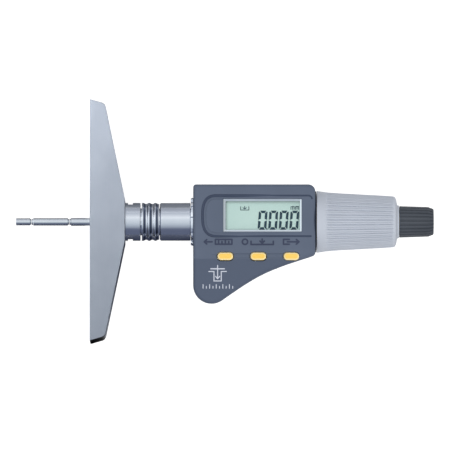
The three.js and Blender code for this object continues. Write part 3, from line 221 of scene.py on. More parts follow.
SHELL_ABS = moulded("ABS, spark-eroded grain", "#586274", "#5d677a", 0.5, 0.35, 0.012, 0.25)
FACE_ABS = moulded("ABS, spark-eroded grain, handled", "#586274", "#5d677a", 0.5, 0.35, 0.012, 0.25, painted_shade_below_crease)
# Painted shade: the bars that press the display's groove leave this darker ABS on their cut.
GROOVE_PAINTED_SHADE = moulded("ABS, dull with dust in a groove", "#444d61", "#495266", 0.6, 0.35, 0.012, 0.15)
THIMBLE_NYLON = moulded("Glass-filled nylon, satin", "#bcc2cd", "#c1c7d2", 0.5, 0.4, 0.01, 0.3)
KNOB_NYLON = moulded("Nylon, satin moulded", "#464b53", "#4f545c", 0.45, 0.4, 0.01, 0.22)
KEY_SILICONE = moulded("Silicone rubber, smooth", "#f9cb5b", "#fbd064", 0.42, 0.3, 0.004, 0.5, painted_highlight_on_shoulder)
BLACK_RUBBER = moulded("Nitrile rubber, moulded", "#1a1e2c", "#202433", 0.6, 0.3, 0.01, 0.3)
SOFT_SILICONE = moulded("Silicone rubber, translucent grey", "#b8bcc0", "#c4c8cc", 0.6, 0.4, 0.006)
INNER_ABS = moulded("ABS, plain moulded", "#2a2e35", "#31353c", 0.5, 0.4, 0.006)
LAMINATE = moulded("Glass laminate with solder mask", "#1c5436", "#226040", 0.35, 0.5, 0.004)
PRINT_DARK = moulded("Screen print, dark grey", "#343b50", "#3a4157", 0.5, 0.3, 0.003, 0.3)
PRINT_PALE = moulded("Screen print, pale grey", "#c3c8d6", "#ccd1dd", 0.5, 0.3, 0.003, 0.3)
SEGMENT_INK = moulded("Liquid crystal segment, switched on", "#0b2f3f", "#12394a", 0.4, 0.3, 0.001, 0.2)

# %% [markdown]
# ## Display
# A reflective liquid crystal cell has a grey-green back with a faint vertical shimmer, and lies under a clear acrylic
# window. The window is see-through by its alpha, with a sharp gloss of its own.

# %% Display finishes
def frame_shadow(tree, colour):
    """The cell lies deep behind its glass, so the frame shades a soft margin along its left and upper edges."""
    low, high = box_mm("lcd_window")
    place = own_place(tree)
    margins = [("X", low.x + 0.5, low.x + 2.0, 0.66), ("Y", high.y - 0.5, high.y - 2.0, 0.62)]
    left, upper = (add(tree, RANGE, {
        "Value": place[way], "From Min": dark * MM, "From Max": clear * MM, "To Min": shade,
    }, **SOFT) for way, dark, clear, shade in margins)
    share = add(tree, MATH, {0: left, 1: upper}, operation="MULTIPLY")
    return add(tree, "ShaderNodeVectorMath", {0: colour, "Scale": share}, operation="SCALE").outputs[0]


LCD_BACK = finished("Liquid crystal cell, reflective back", ("#b9d6d0", "#bfdad4", (14, 9, 9)),
                    ((0.5, 4, 4), 0.36, 0.06, 0.002), {}, frame_shadow)
window_material, tree = start_material("Acrylic window, polished")
ACRYLIC = end_material(window_material, tree, {
    "Base Color": linear("#a9b6b4"), "Alpha": 0.03, **grained(tree, (7, 7, 7), 0.05, 0.02, 0.0002, 3),
})

# %% [markdown]
# ## Making meshes
# Almost every piece here is turned on a lathe or is a flat outline with a thickness. A drawing gives each corner a
# radius, so the first helper eases the corners of a list of points. The next ones turn such a section round the
# spindle's axis or stand an outline up, and mark as sharp only the edges that fold by more than 30 degrees.

# %% Outlines
def eased(points, closed=True, steps=5):
    """Points of (a, b) or (a, b, radius), with every corner that has a radius made an arc."""
    made = []
    for i, point in enumerate(points):
        corner = Vector(point[:2])
        if len(point) < 3 or (not closed and i in (0, len(points) - 1)):
            made.append(corner)
            continue
        back = (Vector(points[i - 1][:2]) - corner).normalized()
        ahead = (Vector(points[(i + 1) % len(points)][:2]) - corner).normalized()
        half = back.angle(ahead) / 2
        reach, out = point[2] / math.tan(half), point[2] / math.sin(half)
        centre = corner + (back + ahead).normalized() * out
        first, last = corner + back * reach - centre, corner + ahead * reach - centre
        sweep = math.atan2(first.x * last.y - first.y * last.x, first.dot(last))
        for k in range(steps + 1):
            c, s = math.cos(sweep * k / steps), math.sin(sweep * k / steps)
            made.append(centre + Vector((first.x * c - first.y * s, first.x * s + first.y * c)))
    return made


def rounded(x0, x1, y0, y1, corner=0.0):
    points = [(x0, y0), (x1, y0), (x1, y1), (x0, y1)]
    return eased([(*p, corner) for p in points] if corner else points)


def circle(x, y, radius, sides):
    angles = [2 * math.pi * i / sides for i in range(sides)]
    return [(x + radius * math.cos(a), y + radius * math.sin(a)) for a in angles]


def oval(x, y, length, width, steps=12):
    reach = (length - width) / 2
    ends = [(x + reach, -math.pi / 2), (x - reach, math.pi / 2)]
    arcs = [[(a + math.pi * k / steps, cx) for k in range(steps + 1)] for cx, a in ends]
    return [(cx + width / 2 * math.cos(a), y + width / 2 * math.sin(a)) for arc in arcs for a, cx in arc]


def lifted(outline, z):
    return [(x, y, z) for x, y in outline]


# %% Meshes from outlines
def placed(name, data):
    made = bpy.data.objects.new(name, data)
    bpy.context.scene.collection.objects.link(made)
    return made


def mesh_object(name, points, faces=(), material=None, edges=()):
    mesh = bpy.data.meshes.new(name)
    mesh.from_pydata([tuple(c * MM for c in p) for p in points], edges, faces)
    made = placed(name, mesh)
    tidy(made)
    if material:
        mesh.materials.append(material)
    return made


def tidy(made, sharp=30):
    shape = bmesh.new()
    shape.from_mesh(made.data)
    bmesh.ops.remove_doubles(shape, verts=shape.verts, dist=1e-7)
    bmesh.ops.dissolve_degenerate(shape, edges=shape.edges, dist=1e-7)
    bmesh.ops.recalc_face_normals(shape, faces=shape.faces)
    for face in shape.faces:
        face.smooth = True
    for edge in shape.edges:
        edge.smooth = len(edge.link_faces) == 2 and edge.calc_face_angle(0) < math.radians(sharp)
    shape.to_mesh(made.data)
    shape.free()


def skin(rings, closed_ends=True):
    count = len(rings[0])
    points = [p for ring in rings for p in ring]
    faces = []
    for r in range(len(rings) - 1):
        for i in range(count):
            a, b = r * count + i, r * count + (i + 1) % count
            faces.append((a, b, b + count, a + count))
    if closed_ends:
        faces.append(tuple(reversed(range(count))))
        faces.append(tuple(range(len(points) - count, len(points))))
    return points, faces


def turned(name, section, material=None, sides=128, steps=5):
    """A piece turned round the spindle's axis, from (x, radius) or (x, radius, ease), x from the measuring face."""
    ends_on_axis = section[0][1] == 0
    points, rings, faces = [], [], []
    for x, radius in eased(section, not ends_on_axis, steps):
        count = 1 if radius < 1e-6 else sides
        rings.append([len(points) + i for i in range(count)])
        points += [(FACE + x, y, z) for y, z in circle(0, AXIS, radius, sides)[:count]]
    pairs = list(zip(rings, rings[1:])) + ([] if ends_on_axis else [(rings[-1], rings[0])])
    for one, two in pairs:
        for i in range(sides):
            corners = [one[i % len(one)], one[(i + 1) % len(one)], two[(i + 1) % len(two)], two[i % len(two)]]
            faces.append(tuple(dict.fromkeys(corners)))
    return mesh_object(name, points, [f for f in faces if len(f) > 2], material)


def slab(name, outline, z0, z1, material=None):
    return mesh_object(name, *skin([lifted(outline, z) for z in (z0, z1)]), material)


def box(name, x0, x1, y0, y1, z0, z1, corner=0.0):
    return slab(name, rounded(x0, x1, y0, y1, corner), z0, z1)


# %% Cutting and handing over
def settle(made):
    """Applies what the object's modifiers do, so that its mesh is plain."""
    seen = made.evaluated_get(bpy.context.evaluated_depsgraph_get())
    made.data = bpy.data.meshes.new_from_object(seen)
    made.modifiers.clear()


def carve(made, tools, join=False):
    """Cuts the tools out of a piece, or joins them to it. A tool with a material leaves that material on its cut."""
    for tool in tools:
        change = made.modifiers.new("carve", "BOOLEAN")
        change.object, change.solver = tool, "EXACT"
        change.operation = "UNION" if join else "DIFFERENCE"
        change.material_mode = "TRANSFER" if tool.data.materials else "INDEX"
    settle(made)
    for tool in tools:
        bpy.data.objects.remove(tool)
    tidy(made)


def dress(made, slot, *nodes, body="gauge_body"):
    """Hands a finished piece to its body and hides the CAD nodes it stands for, its normals weighted by area so that
    flats stay flat.
    """
    made.modifiers.new("even normals", "WEIGHTED_NORMAL").keep_sharp = True
    settle(made)
    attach(made, body)
    if nodes:
        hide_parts(*nodes)
    print(made.name, "faces:", len(made.data.polygons))


# %% [markdown]
# ## Measuring base
# The base is a steel bar, ground on all sides: a straight measuring face, and a back that falls away to both ends.
# An outline with its thickness gives the shape, and a small bevel gives every edge the thin bright line that a
# broken edge has on the bench.

# %% Measuring base
SPAN, HEIGHT, CROWN, END_HEIGHT, END_DRAFT = 100, 14.5, 17.2, 6.3, 1.8
half_outline = [(HEIGHT, CROWN / 2, 0.6), (END_HEIGHT, SPAN / 2 - END_DRAFT, 2.4), (0, SPAN / 2)]
base_points = half_outline + [(p[0], -p[1], *p[2:]) for p in reversed(half_outline)]
base = slab("base_block", [(FACE + p.x, p.y) for p in eased(base_points)], BOTTOM, TOP, GROUND_STEEL)
bevel = base.modifiers.new("broken edges", "BEVEL")
bevel.width, bevel.segments, bevel.limit_method, bevel.angle_limit = 0.2 * MM, 2, "ANGLE", math.radians(35)
settle(base)
tidy(base)
carve(base, [
    turned("hub pocket", [(10.7, 0), (10.7, 7.1), (HEIGHT + 1, 7.1), (HEIGHT + 1, 0)], sides=96),
    turned("bush hole", [(-1, 0), (-1, 3.8), (0.3, 3.5), (11, 3.5), (11, 0)], sides=64),
])
dress(base, "ground_steel", "measuring_base")

bush = turned("rod_bush_ring", [(0.4, 3.2, 0.2), (10.4, 3.2), (10.4, 1.8), (0.4, 1.8, 0.3)], LAPPED_STEEL, 64)
dress(bush, "hardened_steel", "rod_bush")

# %% [markdown]
# ## Neck
# Between the base and the housing come a hub with two flats for a spanner, a lock ring with three soft ridges, a plain
# sleeve and a thin nut with notches. All are turned, so each is a section that is spun round the axis. The flats are
# milled afterwards, and the ridges follow a cosine, which is what a form tool leaves.

# %% Hub, lock ring and sleeve
BORE, HUB_R, HUB_END, LOCK_START, LOCK_END = 5.9, 7.85, 20.85, 21.45, 28.6
SLEEVE_R, SLEEVE_START, SLEEVE_END = 7.8, 28.9, 41.55
hub = turned("base_hub_ring", [
    (11, BORE), (11, 6.8), (HEIGHT, 6.8), (HEIGHT, HUB_R, 0.12), (HUB_END, HUB_R, 0.25), (HUB_END, BORE),
], CHROME)
carve(hub, [box("flat", FACE + 15.66, FACE + 17.7, y0, y1, AXIS - 9, AXIS + 9) for y0, y1 in ((6.95, 9), (-9, -6.95))])
dress(hub, "chromed_steel", "base_hub")

RIDGE_KNOTS = [(21.45, 7.8), (21.85, 7.9), (23.25, 7.42), (24.45, 7.9), (25.85, 7.42), (27.0, 7.9), (28.3, 7.42)]
ridge_points = []
for (x0, r0), (x1, r1) in zip(RIDGE_KNOTS, RIDGE_KNOTS[1:]):
    for k in range(10):
        share = (1 - math.cos(math.pi * k / 10)) / 2
        ridge_points.append((x0 + (x1 - x0) * k / 10, r0 + (r1 - r0) * share))
lock_section = [(LOCK_START, 5.8), *ridge_points, RIDGE_KNOTS[-1], (LOCK_END, 7.4), (LOCK_END, 5.8)]
lock_ring = turned("lock_ring_turned", lock_section, CHROME_PAINTED_SHADE)
dress(lock_ring, "chromed_steel", "lock_ring", body="lock_ring")

sleeve = turned("stem_sleeve_turned", [
    (SLEEVE_START, BORE), (SLEEVE_START, 7.35), (SLEEVE_START + 0.45, SLEEVE_R, 0.1), (SLEEVE_END, SLEEVE_R, 0.3),
    (SLEEVE_END, BORE),
], CHROME)
dress(sleeve, "chromed_steel", "stem_sleeve")

# %% [markdown]
# ## One tree of Geometry Nodes for everything ribbed
# The thimble, the knob and the thin nut all repeat one groove round the axis. A tree moves each point of a turned
# blank towards the axis by a wave of its angle, between two stations along X and only outside a given radius, so
# that the bore stays round. The same tree with other numbers gives soft ribs, deep ribs or notches.

# %% The ribs tree
def new_tree(name, sockets):
    """Starts a tree whose inputs are a geometry, the named sizes and a material."""
    tree = bpy.data.node_groups.new(name, "GeometryNodeTree")
    tree.interface.new_socket("Geometry", in_out="OUTPUT", socket_type="NodeSocketGeometry")
    for label, kind in {"Geometry": "Geometry", **sockets, "Material": "Material"}.items():
        tree.interface.new_socket(label, in_out="INPUT", socket_type="NodeSocket" + kind)
    return tree, add(tree, "NodeGroupInput").outputs


def end_tree(tree, geometry, given):
    plain = add(tree, "GeometryNodeRealizeInstances", {"Geometry": geometry})
    painted = add(tree, "GeometryNodeSetMaterial", {"Geometry": plain, "Material": given["Material"]})
    add(tree, "NodeGroupOutput", {"Geometry": painted})
    return tree


def ribs_tree():
    sizes = ["Depth", "Groove share", "Softness", "From", "To", "Run-out", "Outside radius", "Axis height"]
    tree, given = new_tree("Ribs round the axis", {"Ribs": "Int", **dict.fromkeys(sizes, "Float")})
    vector = "ShaderNodeVectorMath"
    place = add(tree, SPLIT, {0: add(tree, "GeometryNodeInputPosition")}).outputs
    up = add(tree, MATH, {0: place["Z"], 1: given["Axis height"]}, operation="SUBTRACT")
    radial = add(tree, "ShaderNodeCombineXYZ", {"Y": place["Y"], "Z": up})
    radius = add(tree, vector, {0: radial}, operation="LENGTH").outputs["Value"]
    # the wave goes from 0 on a rib to 1 in a groove, once for each rib
    angle = add(tree, MATH, {0: up, 1: place["Y"]}, operation="ARCTAN2")
    ribs_angle = add(tree, MATH, {0: angle, 1: given["Ribs"]}, operation="MULTIPLY")
    cosine = add(tree, MATH, {0: ribs_angle}, operation="COSINE")
    wave = add(tree, MATH, {0: cosine, 1: 0.5, 2: 0.5}, operation="MULTIPLY_ADD")
    edge = add(tree, MATH, {0: 1.0, 1: given["Groove share"]}, operation="SUBTRACT")
    low, high = (add(tree, MATH, {0: edge, 1: given["Softness"]}, operation=way) for way in ("SUBTRACT", "ADD"))
    groove = add(tree, RANGE, {"Value": wave, "From Min": low, "From Max": high}, **SOFT)
    # the grooves run out at both ends
    window = []
    for station, way in (("From", "ADD"), ("To", "SUBTRACT")):
        full = add(tree, MATH, {0: given[station], 1: given["Run-out"]}, operation=way)
        window.append(add(tree, RANGE, {"Value": place["X"], "From Min": given[station], "From Max": full}, **SOFT))
    share = add(tree, MATH, {0: window[0], 1: window[1]}, operation="MULTIPLY")
    reach = add(tree, MATH, {0: add(tree, MATH, {0: groove, 1: share}, operation="MULTIPLY"), 1: given["Depth"]},
                operation="MULTIPLY")
    back = add(tree, MATH, {0: reach, 1: -1.0}, operation="MULTIPLY")
    outside = add(tree, MATH, {0: radius, 1: given["Outside radius"]}, operation="GREATER_THAN")
    unit = add(tree, vector, {0: radial}, operation="NORMALIZE")
    shift = add(tree, vector, {0: unit, "Scale": back}, operation="SCALE")
    return end_tree(tree, add(tree, "GeometryNodeSetPosition", {
        "Geometry": given["Geometry"], "Selection": outside, "Offset": shift,
    }), given)


def grow(made, tree, **values):
    """Runs a tree on an object with its named inputs, and keeps the result as a plain mesh."""
    change = made.modifiers.new(tree.name, "NODES")
    change.node_group = tree
    names = {item.name: item.identifier for item in tree.interface.items_tree if item.in_out == "INPUT"}
    for name, value in values.items():
        change[names[name]] = value
    settle(made)


RIBS = ribs_tree()
print("ribs tree nodes:", len(RIBS.nodes))


def ribbed(made, ribs, depth, share, softness, start, end, run_out, outside):
    grow(made, RIBS, **{
        "Ribs": ribs, "Depth": depth * MM, "Groove share": share, "Softness": softness,
        "From": (FACE + start) * MM, "To": (FACE + end) * MM, "Run-out": run_out * MM,
        "Outside radius": outside * MM, "Axis height": AXIS * MM, "Material": made.data.materials[0],
    })


# %% [markdown]
# ## Notched nut
# A thin nut with twelve notches closes the neck against the housing. Its blank has points on every degree, close
# enough for the notch walls.

# %% Notched nut
NUT_START, NUT_END = 41.7, 42.65
nut = turned("ring_nut_turned", [
    (NUT_START, BORE), (NUT_START, 9.7, 0.1), (NUT_END - 0.05, 10.05, 0.05), (NUT_END, 9.95), (NUT_END, BORE),
], CHROME, 360, 2)
ribbed(nut, 12, 0.9, 0.5, 0.08, 41, 43.5, 0.05, 9)
tidy(nut)
dress(nut, "chromed_steel", "ring_nut")

# %% [markdown]
# ## Thimble, seal ring and knob
# The thimble tapers a little and ends in a round shoulder. Behind a plain band start 36 grooves with a shallower one
# between each two, so the tree runs on it twice. The collar of the seal reaches into the housing and hides the drive.
# The knob has 24 wider grooves that run to its front end. Both blanks are turned with many rows, so that the tree
# has points to move.

# %% Thimble
def rows(x0, r0, x1, r1, count):
    return [(x0 + (x1 - x0) * k / count, r0 + (r1 - r0) * k / count) for k in range(count)]


seal = turned("thimble_seal", [
    (90.9, 7.79), (90.9, 7.95), (93.15, 7.95), (93.15, 12.65, 0.15), (93.65, 12.65, 0.15), (93.65, 7.79),
], BLACK_RUBBER)
dress(seal, "black_rubber", "thimble_seal_ring")

THIMBLE_KNOTS = [(93.92, 12.8), (95.5, 12.6), (97.3, 12.3), (99.4, 12.09), (103.5, 11.8), (107.6, 11.59),
                 (111.8, 11.36), (115.9, 11.13), (120.1, 10.92), (125.3, 10.58)]
thimble_section = [(93.8, 8.9), (93.8, 12.7)]
for (x0, r0), (x1, r1) in zip(THIMBLE_KNOTS, THIMBLE_KNOTS[1:]):
    thimble_section += rows(x0, r0, x1, r1, max(2, round((x1 - x0) / 0.4)))
thimble_section += [
    THIMBLE_KNOTS[-1], (125.7, 10.52), (126.05, 10.36), (126.35, 10.06), (126.6, 9.55), (126.8, 8.8), (126.97, 7.9),
    (127.1, 7.25), (127.25, 6.92), (127.45, 6.8), (127.75, 6.8), (127.9, 6.65), (127.9, 4.1), (121.3, 4.1),
    (121.3, 8.9),
]
thimble = turned("thimble_ribbed", thimble_section, THIMBLE_NYLON, 720)
for ribs, depth, share, softness in ((36, 0.28, 0.2, 0.08), (72, 0.3, 0.25, 0.12)):
    ribbed(thimble, ribs, depth, share, softness, 96.8, 126.5, 2.2, 9.2)
tidy(thimble, 50)
dress(thimble, "thimble_plastic", "thimble", body="thimble")

# %% Knob
knob = turned("ratchet_knob_ribbed", [
    (140.9, 0), (140.9, 4.0), (128.05, 4.0), (128.05, 6.35), (128.2, 6.5), *rows(128.3, 6.5, 139.6, 6.15, 10),
    (139.6, 6.15), (140.1, 6.1), *rows(140.1, 6.1, 141.9, 5.45, 6), (141.9, 5.45), (142.15, 5.3), (142.25, 5.05),
    (142.25, 3.2), (142.05, 3.0), (142.05, 0),
], KNOB_NYLON, 480)
ribbed(knob, 24, 0.45, 0.38, 0.14, 127.6, 142.0, 0.5, 4.9)
tidy(knob, 50)
dress(knob, "knob_plastic", "ratchet_knob", body="ratchet_knob")

# %% [markdown]
# ## Spindle and rods
# The spindle's nose comes out of the base, an extension rod screws into it, and a tip into that. At each joint the
# front piece ends in a dark chamfer and the next starts with a thinner bright neck, which is how the joints show.

# %% Spindle and rods
TIP_START, TIP_END, ROD_END, STEM_START = -30.75, -24.4, -8.75, 45.65
TIP_R, ROD_R, SPINDLE_R, STEM_R, JOINT = 1.5, 1.56, 1.65, 3.1, 0.15
stem_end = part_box("spindle")[1].x / MM - FACE


def necked(x0, x1, radius, tail):
    return [(x0, 0), (x0, 1.15), (x0 + 0.1, 1.3), (x0 + 0.55, 1.3), (x0 + 0.85, radius), *tail, (x1, 0)]


tip = turned("measuring_tip_lapped", [
    (TIP_START, 0), (TIP_START, TIP_R, 0.2), (TIP_END - 0.52, TIP_R), (TIP_END - 0.06, 1.04), (TIP_END, 1.0),
    (TIP_END, 0),
], LAPPED_STEEL, 64)
rod = turned("extension_rod_lapped", necked(TIP_END + JOINT, ROD_END, ROD_R, [
    (ROD_END - 0.56, ROD_R), (ROD_END - 0.06, 1.06), (ROD_END, 1.0),
]), LAPPED_STEEL, 64)
spindle = turned("spindle_ground", necked(ROD_END + JOINT, stem_end, SPINDLE_R, [
    (STEM_START, SPINDLE_R), (STEM_START, STEM_R, 0.2), (stem_end, STEM_R, 0.2),
]), LAPPED_STEEL, 64)
arm_low, arm_high = box_mm("scale_arm")
carve(spindle, [box("arm pocket", arm_low.x - 0.15, arm_high.x + 0.15, 1.55, 4.1, AXIS - 1.5, AXIS + 1.5)])
for piece, node in ((tip, "measuring_tip"), (rod, "extension_rod"), (spindle, "spindle")):
    dress(piece, "hardened_steel", node, body="spindle")

# %% [markdown]
# ## Housing outline
# The two shells share one outline: a straight neck end, a round lobe at the bottom, a long curved flank that rises to
# the thimble, and rounded corners. It is written once with an inset, because the draft of the walls, the rounded rim
# and the hollow are all the same outline drawn in by some amount.

# %% Housing outline
LEFT, RIGHT = FACE + 42.7, FACE + 93.15
EDGE, LOBE_R, LOBE_Y, EXIT, TAIL = 14.7, 7.6, -27, math.radians(35), math.radians(17.7)
NEAR_R, FAR_R, TAIL_R = 1.2, 2.9, 1.7  # the corners at the neck, above the thimble and below it
FLANK_STEPS, TAIL_RUN, PULL = 36, 4.9, 0.45  # PULL says how far along the flank the handles of its curve reach


def bend(x, y, radius, start, end, steps):
    turns = [start + (end - start) * i / steps for i in range(steps + 1)]
    return [Vector((x + radius * math.sin(a), y - radius * math.cos(a))) for a in turns]


def housing_outline(inset):
    near, far, tail = (max(r - inset, 0.2) for r in (NEAR_R, FAR_R, TAIL_R))
    left, right, top = LEFT + inset, RIGHT - inset, EDGE - inset
    lobe_x = LEFT + LOBE_R
    heading = lambda a: Vector((math.cos(a), math.sin(a)))
    tail_corner = Vector((RIGHT, -EDGE))
    flank_end = tail_corner - heading(TAIL) * TAIL_RUN
    flank_start = bend(lobe_x, LOBE_Y, LOBE_R, EXIT, EXIT, 1)[0]
    handle = (flank_end - flank_start).length * PULL
    knots = [flank_start, flank_start + heading(EXIT) * handle, flank_end - heading(TAIL) * handle, flank_end]
    flank = []
    for i in range(1, FLANK_STEPS + 1):
        t = i / FLANK_STEPS
        u = 1 - t
        at = knots[0] * u**3 + knots[1] * 3 * u * u * t + knots[2] * 3 * u * t * t + knots[3] * t**3
        along = (knots[1] - knots[0]) * u * u + (knots[2] - knots[1]) * 2 * u * t + (knots[3] - knots[2]) * t * t
        flank.append(at + Vector((-along.y, along.x)).normalized() * inset)
    tail_x = right - tail
    tail_rise = (inset + tail + (tail_x - tail_corner.x) * math.sin(TAIL)) / math.cos(TAIL)
    quarter = math.pi / 2
    return [
        *bend(left + near, top - near, near, 2 * quarter, 3 * quarter, 8),
        *bend(lobe_x, LOBE_Y, LOBE_R - inset, -quarter, EXIT, 40),
        *flank,
        *bend(tail_x, tail_corner.y + tail_rise, tail, TAIL, quarter, 8),
        *bend(right - far, top - far, far, quarter, 2 * quarter, 12),
    ]


def level_ring(z, inset):
    return lifted(housing_outline(inset), z)


print("outline points:", len(housing_outline(0)))

# %% [markdown]
# ## Front shell
# The face is flat down to the keys. There it bends away, ends in a crease that runs between the keys, and goes on as
# a second, slightly tilted plane. The shell is made flat first, is sliced across where it bends, and each point of
# the face then sinks by a rule of Y alone, so every slice stays flat.

# %% Front shell, outside
FOLD_START, CREASE = -11.4, -15.9
FOLD_SLOPE, LOBE_SLOPE = math.tan(math.radians(17)), math.tan(math.radians(5))


def sink(y):
    if y >= FOLD_START:
        return 0
    run = FOLD_START - max(y, CREASE)
    bent = FOLD_SLOPE * run * run / (2 * (FOLD_START - CREASE))
    return bent + LOBE_SLOPE * max(CREASE - y, 0)


RIM, RIM_STEPS, PARTING, FLANK_INSET, HOLLOW_INSET, WALL = 1.5, 10, 0.15, 1.2, 2.4, 1.6
INNER_TOP, INNER_BOTTOM = TOP - WALL, BOTTOM + WALL
rim_angles = [math.pi / 2 * i / RIM_STEPS for i in range(RIM_STEPS + 1)]
front_rings = [level_ring(AXIS + PARTING, FLANK_INSET)]
front_rings += [level_ring(TOP - RIM * (1 - math.sin(a)), RIM * (1 - math.cos(a))) for a in rim_angles]
front_rings.append(level_ring(TOP, RIM + 0.12))
front_shell = mesh_object("housing_front_shell", *skin(front_rings), FACE_ABS)


def hollow(z0, z1):
    return mesh_object("hollow", *skin([level_ring(z0, HOLLOW_INSET), level_ring(z1, HOLLOW_INSET)]))


def fold_face(made):
    shape = bmesh.new()
    shape.from_mesh(made.data)
    lines = [FOLD_START + (CREASE - FOLD_START) * k / 12 for k in range(13)] + [CREASE - 0.15]
    for y in lines:
        everything = shape.verts[:] + shape.edges[:] + shape.faces[:]
        bmesh.ops.bisect_plane(shape, geom=everything, plane_co=(0, y * MM, 0), plane_no=(0, 1, 0), dist=1e-8)
    for vert in shape.verts:
        if vert.co.z > (TOP - 3) * MM:
            vert.co.z -= sink(vert.co.y / MM) * MM
    shape.to_mesh(made.data)
    shape.free()


carve(front_shell, [hollow(AXIS - 1, INNER_TOP)])
fold_face(front_shell)
print("deepest fold, mm:", round(sink(LOBE_Y - LOBE_R), 2))

# %% [markdown]
# Then the openings. A hollow leaves walls of 1.6 mm, bosses and posts carry the screws, and cutters open the display
# window, the key slots, the neck and the data socket. Round bars bent along the panel's line press the soft groove
# that frames the display, deepest round its left end, and one more presses a shallow trough along the keys. Geometry
# Nodes sweep them, because they follow a path.

# %% Bar along a path
def sweep_tree():
    tree, given = new_tree("Bar along a path", {"Radius": "Float", "Sides": "Int"})
    path = add(tree, "GeometryNodeMeshToCurve", {"Mesh": given["Geometry"]})
    ring = add(tree, "GeometryNodeCurvePrimitiveCircle", {"Resolution": given["Sides"], "Radius": given["Radius"]})
    bar = add(tree, "GeometryNodeCurveToMesh", {"Curve": path, "Profile Curve": ring, "Fill Caps": True})
    return end_tree(tree, bar, given)


SWEEP = sweep_tree()
print("sweep tree nodes:", len(SWEEP.nodes))


def bar(name, path, radius, sides=20, material=None):
    made = mesh_object(name, path, edges=[(i, i + 1) for i in range(len(path) - 1)])
    grow(made, SWEEP, Radius=radius * MM, Sides=sides, Material=material)
    if not material:
        made.data.materials.clear()
    tidy(made)
    return made


# %% Places of the openings
def middles(nodes):
    return [tuple((low + high).xy / 2 / MM) for low, high in map(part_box, nodes)]


view_low, view_high = box_mm("lcd_window")
VIEW_X0, VIEW_X1, VIEW_Y0, VIEW_Y1 = view_low.x - 0.15, view_high.x + 0.15, view_low.y - 0.15, view_high.y + 0.15
BEZEL_MORE_X, BEZEL_MORE_Y = 0.3, 0.25  # the bezel is wider along its left and upper sides
key_nodes = ["key_left", "key_middle", "key_right"]
KEY_OFF = 2.1  # from a key's upper side to its middle
key_places = [((low.x + high.x) / 2 / MM, (high.y - KEY_OFF * MM) / MM) for low, high in map(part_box, key_nodes)]
# the right key stands close to the flank, so its foot is shorter on that side, and its slot is closer there
FOOT_TRIMS = [0, 0, 1.9]
SLOT_SHIFTS, SLOT_SIZES, SLOT_BOTTOM = [0, 0, 0.1], [(7.2, 3.9), (7.2, 3.9), (6.9, 3.6)], INNER_TOP - 1.9
screw_nodes = [f"housing_screw_{i}" for i in (1, 2, 3, 4)]
screw_places, post_places = middles(screw_nodes), middles(["board_screw_1", "board_screw_2"])
board_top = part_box("display_board")[1].z / MM
PILOT_R, POST_R, FRONT_BOSS_R, REAR_BOSS_R, HEAD_HOLE_R = 0.95, 1.35, 1.6, 2.0, 1.65
BOSS_ROOT = 0.8  # how deep a boss reaches into its wall


def drum(name, x, y, z0, z1, radius, sides=48):
    return slab(name, circle(x, y, radius, sides), z0, z1)


def holes_on_axis():
    holes = (("neck hole", 41.7, 50, BORE), ("drive hole", 88.85, 94.15, 8.0))
    return [turned(name, [(x0, 0), (x0, radius), (x1, radius), (x1, 0)], sides=96) for name, x0, x1, radius in holes]


print("key middles, mm:", [(round(x, 2), round(y, 2)) for x, y in key_places])


# %% Openings of the front shell
carve(front_shell, [
    *[drum("boss", x, y, AXIS + PARTING, INNER_TOP + BOSS_ROOT - sink(y), FRONT_BOSS_R) for x, y in screw_places],
    *[drum("post", x, y, board_top + 0.3, INNER_TOP + BOSS_ROOT, POST_R) for x, y in post_places],
], join=True)
carve(front_shell, [
    *[drum("pilot", x, y, AXIS - 1, AXIS + 5.3, PILOT_R) for x, y in screw_places],
    *[drum("pilot", x, y, board_top - 1, INNER_TOP - 0.8, PILOT_R) for x, y in post_places],
])
carve(front_shell, [
    box("view", VIEW_X0 - BEZEL_MORE_X, VIEW_X1, VIEW_Y0, VIEW_Y1 + BEZEL_MORE_Y, AXIS, TOP + 1, 0.35),
    *[slab("key slot", oval(x - shift, y + shift, *size), SLOT_BOTTOM, TOP + 1)
      for (x, y), shift, size in zip(key_places, SLOT_SHIFTS, SLOT_SIZES)],
    box("socket", LEFT - 1, LEFT + 3.4, -19.2, -11.8, AXIS + 2.4, AXIS + 6.4, 0.5),
])
carve(front_shell, [
    *[box("foot room", x - 3.5, x + 3.5 - trim, y - 1.2, y + 2.3, SLOT_BOTTOM, INNER_TOP - 0.1)
      for (x, y), trim in zip(key_places, FOOT_TRIMS)],
    *holes_on_axis(),
])
print("front shell faces:", len(front_shell.data.polygons))


# %% Grooves in the face
def panel_line(height, inset=0.0):
    top, bottom, bow, power = 9.95 - inset, -6.85 + inset, 6, 2.8
    middle, half = (top + bottom) / 2, (top - bottom) / 2
    squared = lambda v: math.copysign(abs(v) ** (2 / power), v)
    left, end = LEFT + 3.85 + inset + bow, RIGHT - 2.4
    line = [(end + 1.1, top - 1.5), (end + 0.8, top - 0.6)]
    line += [(end + (left - end) * k / 16, top) for k in range(16)]
    for i in range(41):
        a = math.pi / 2 + math.pi * i / 40
        line.append((left + bow * squared(math.cos(a)), middle + half * squared(math.sin(a))))
    line += [(left + (end + 0.8 - left) * k / 16, bottom) for k in range(1, 17)]
    return lifted(line, TOP + height)


def fading(line, start, end, rise):
    """Lifts the line out of the face along its straight parts, later on the upper one than on the lower one."""
    made = []
    for x, y, z in line:
        begin = start if y > 0 else start - 12
        share = min(max((x - begin) / (end - start), 0), 1)
        made.append((x, y, z + rise * share * share * (3 - 2 * share)))
    return made


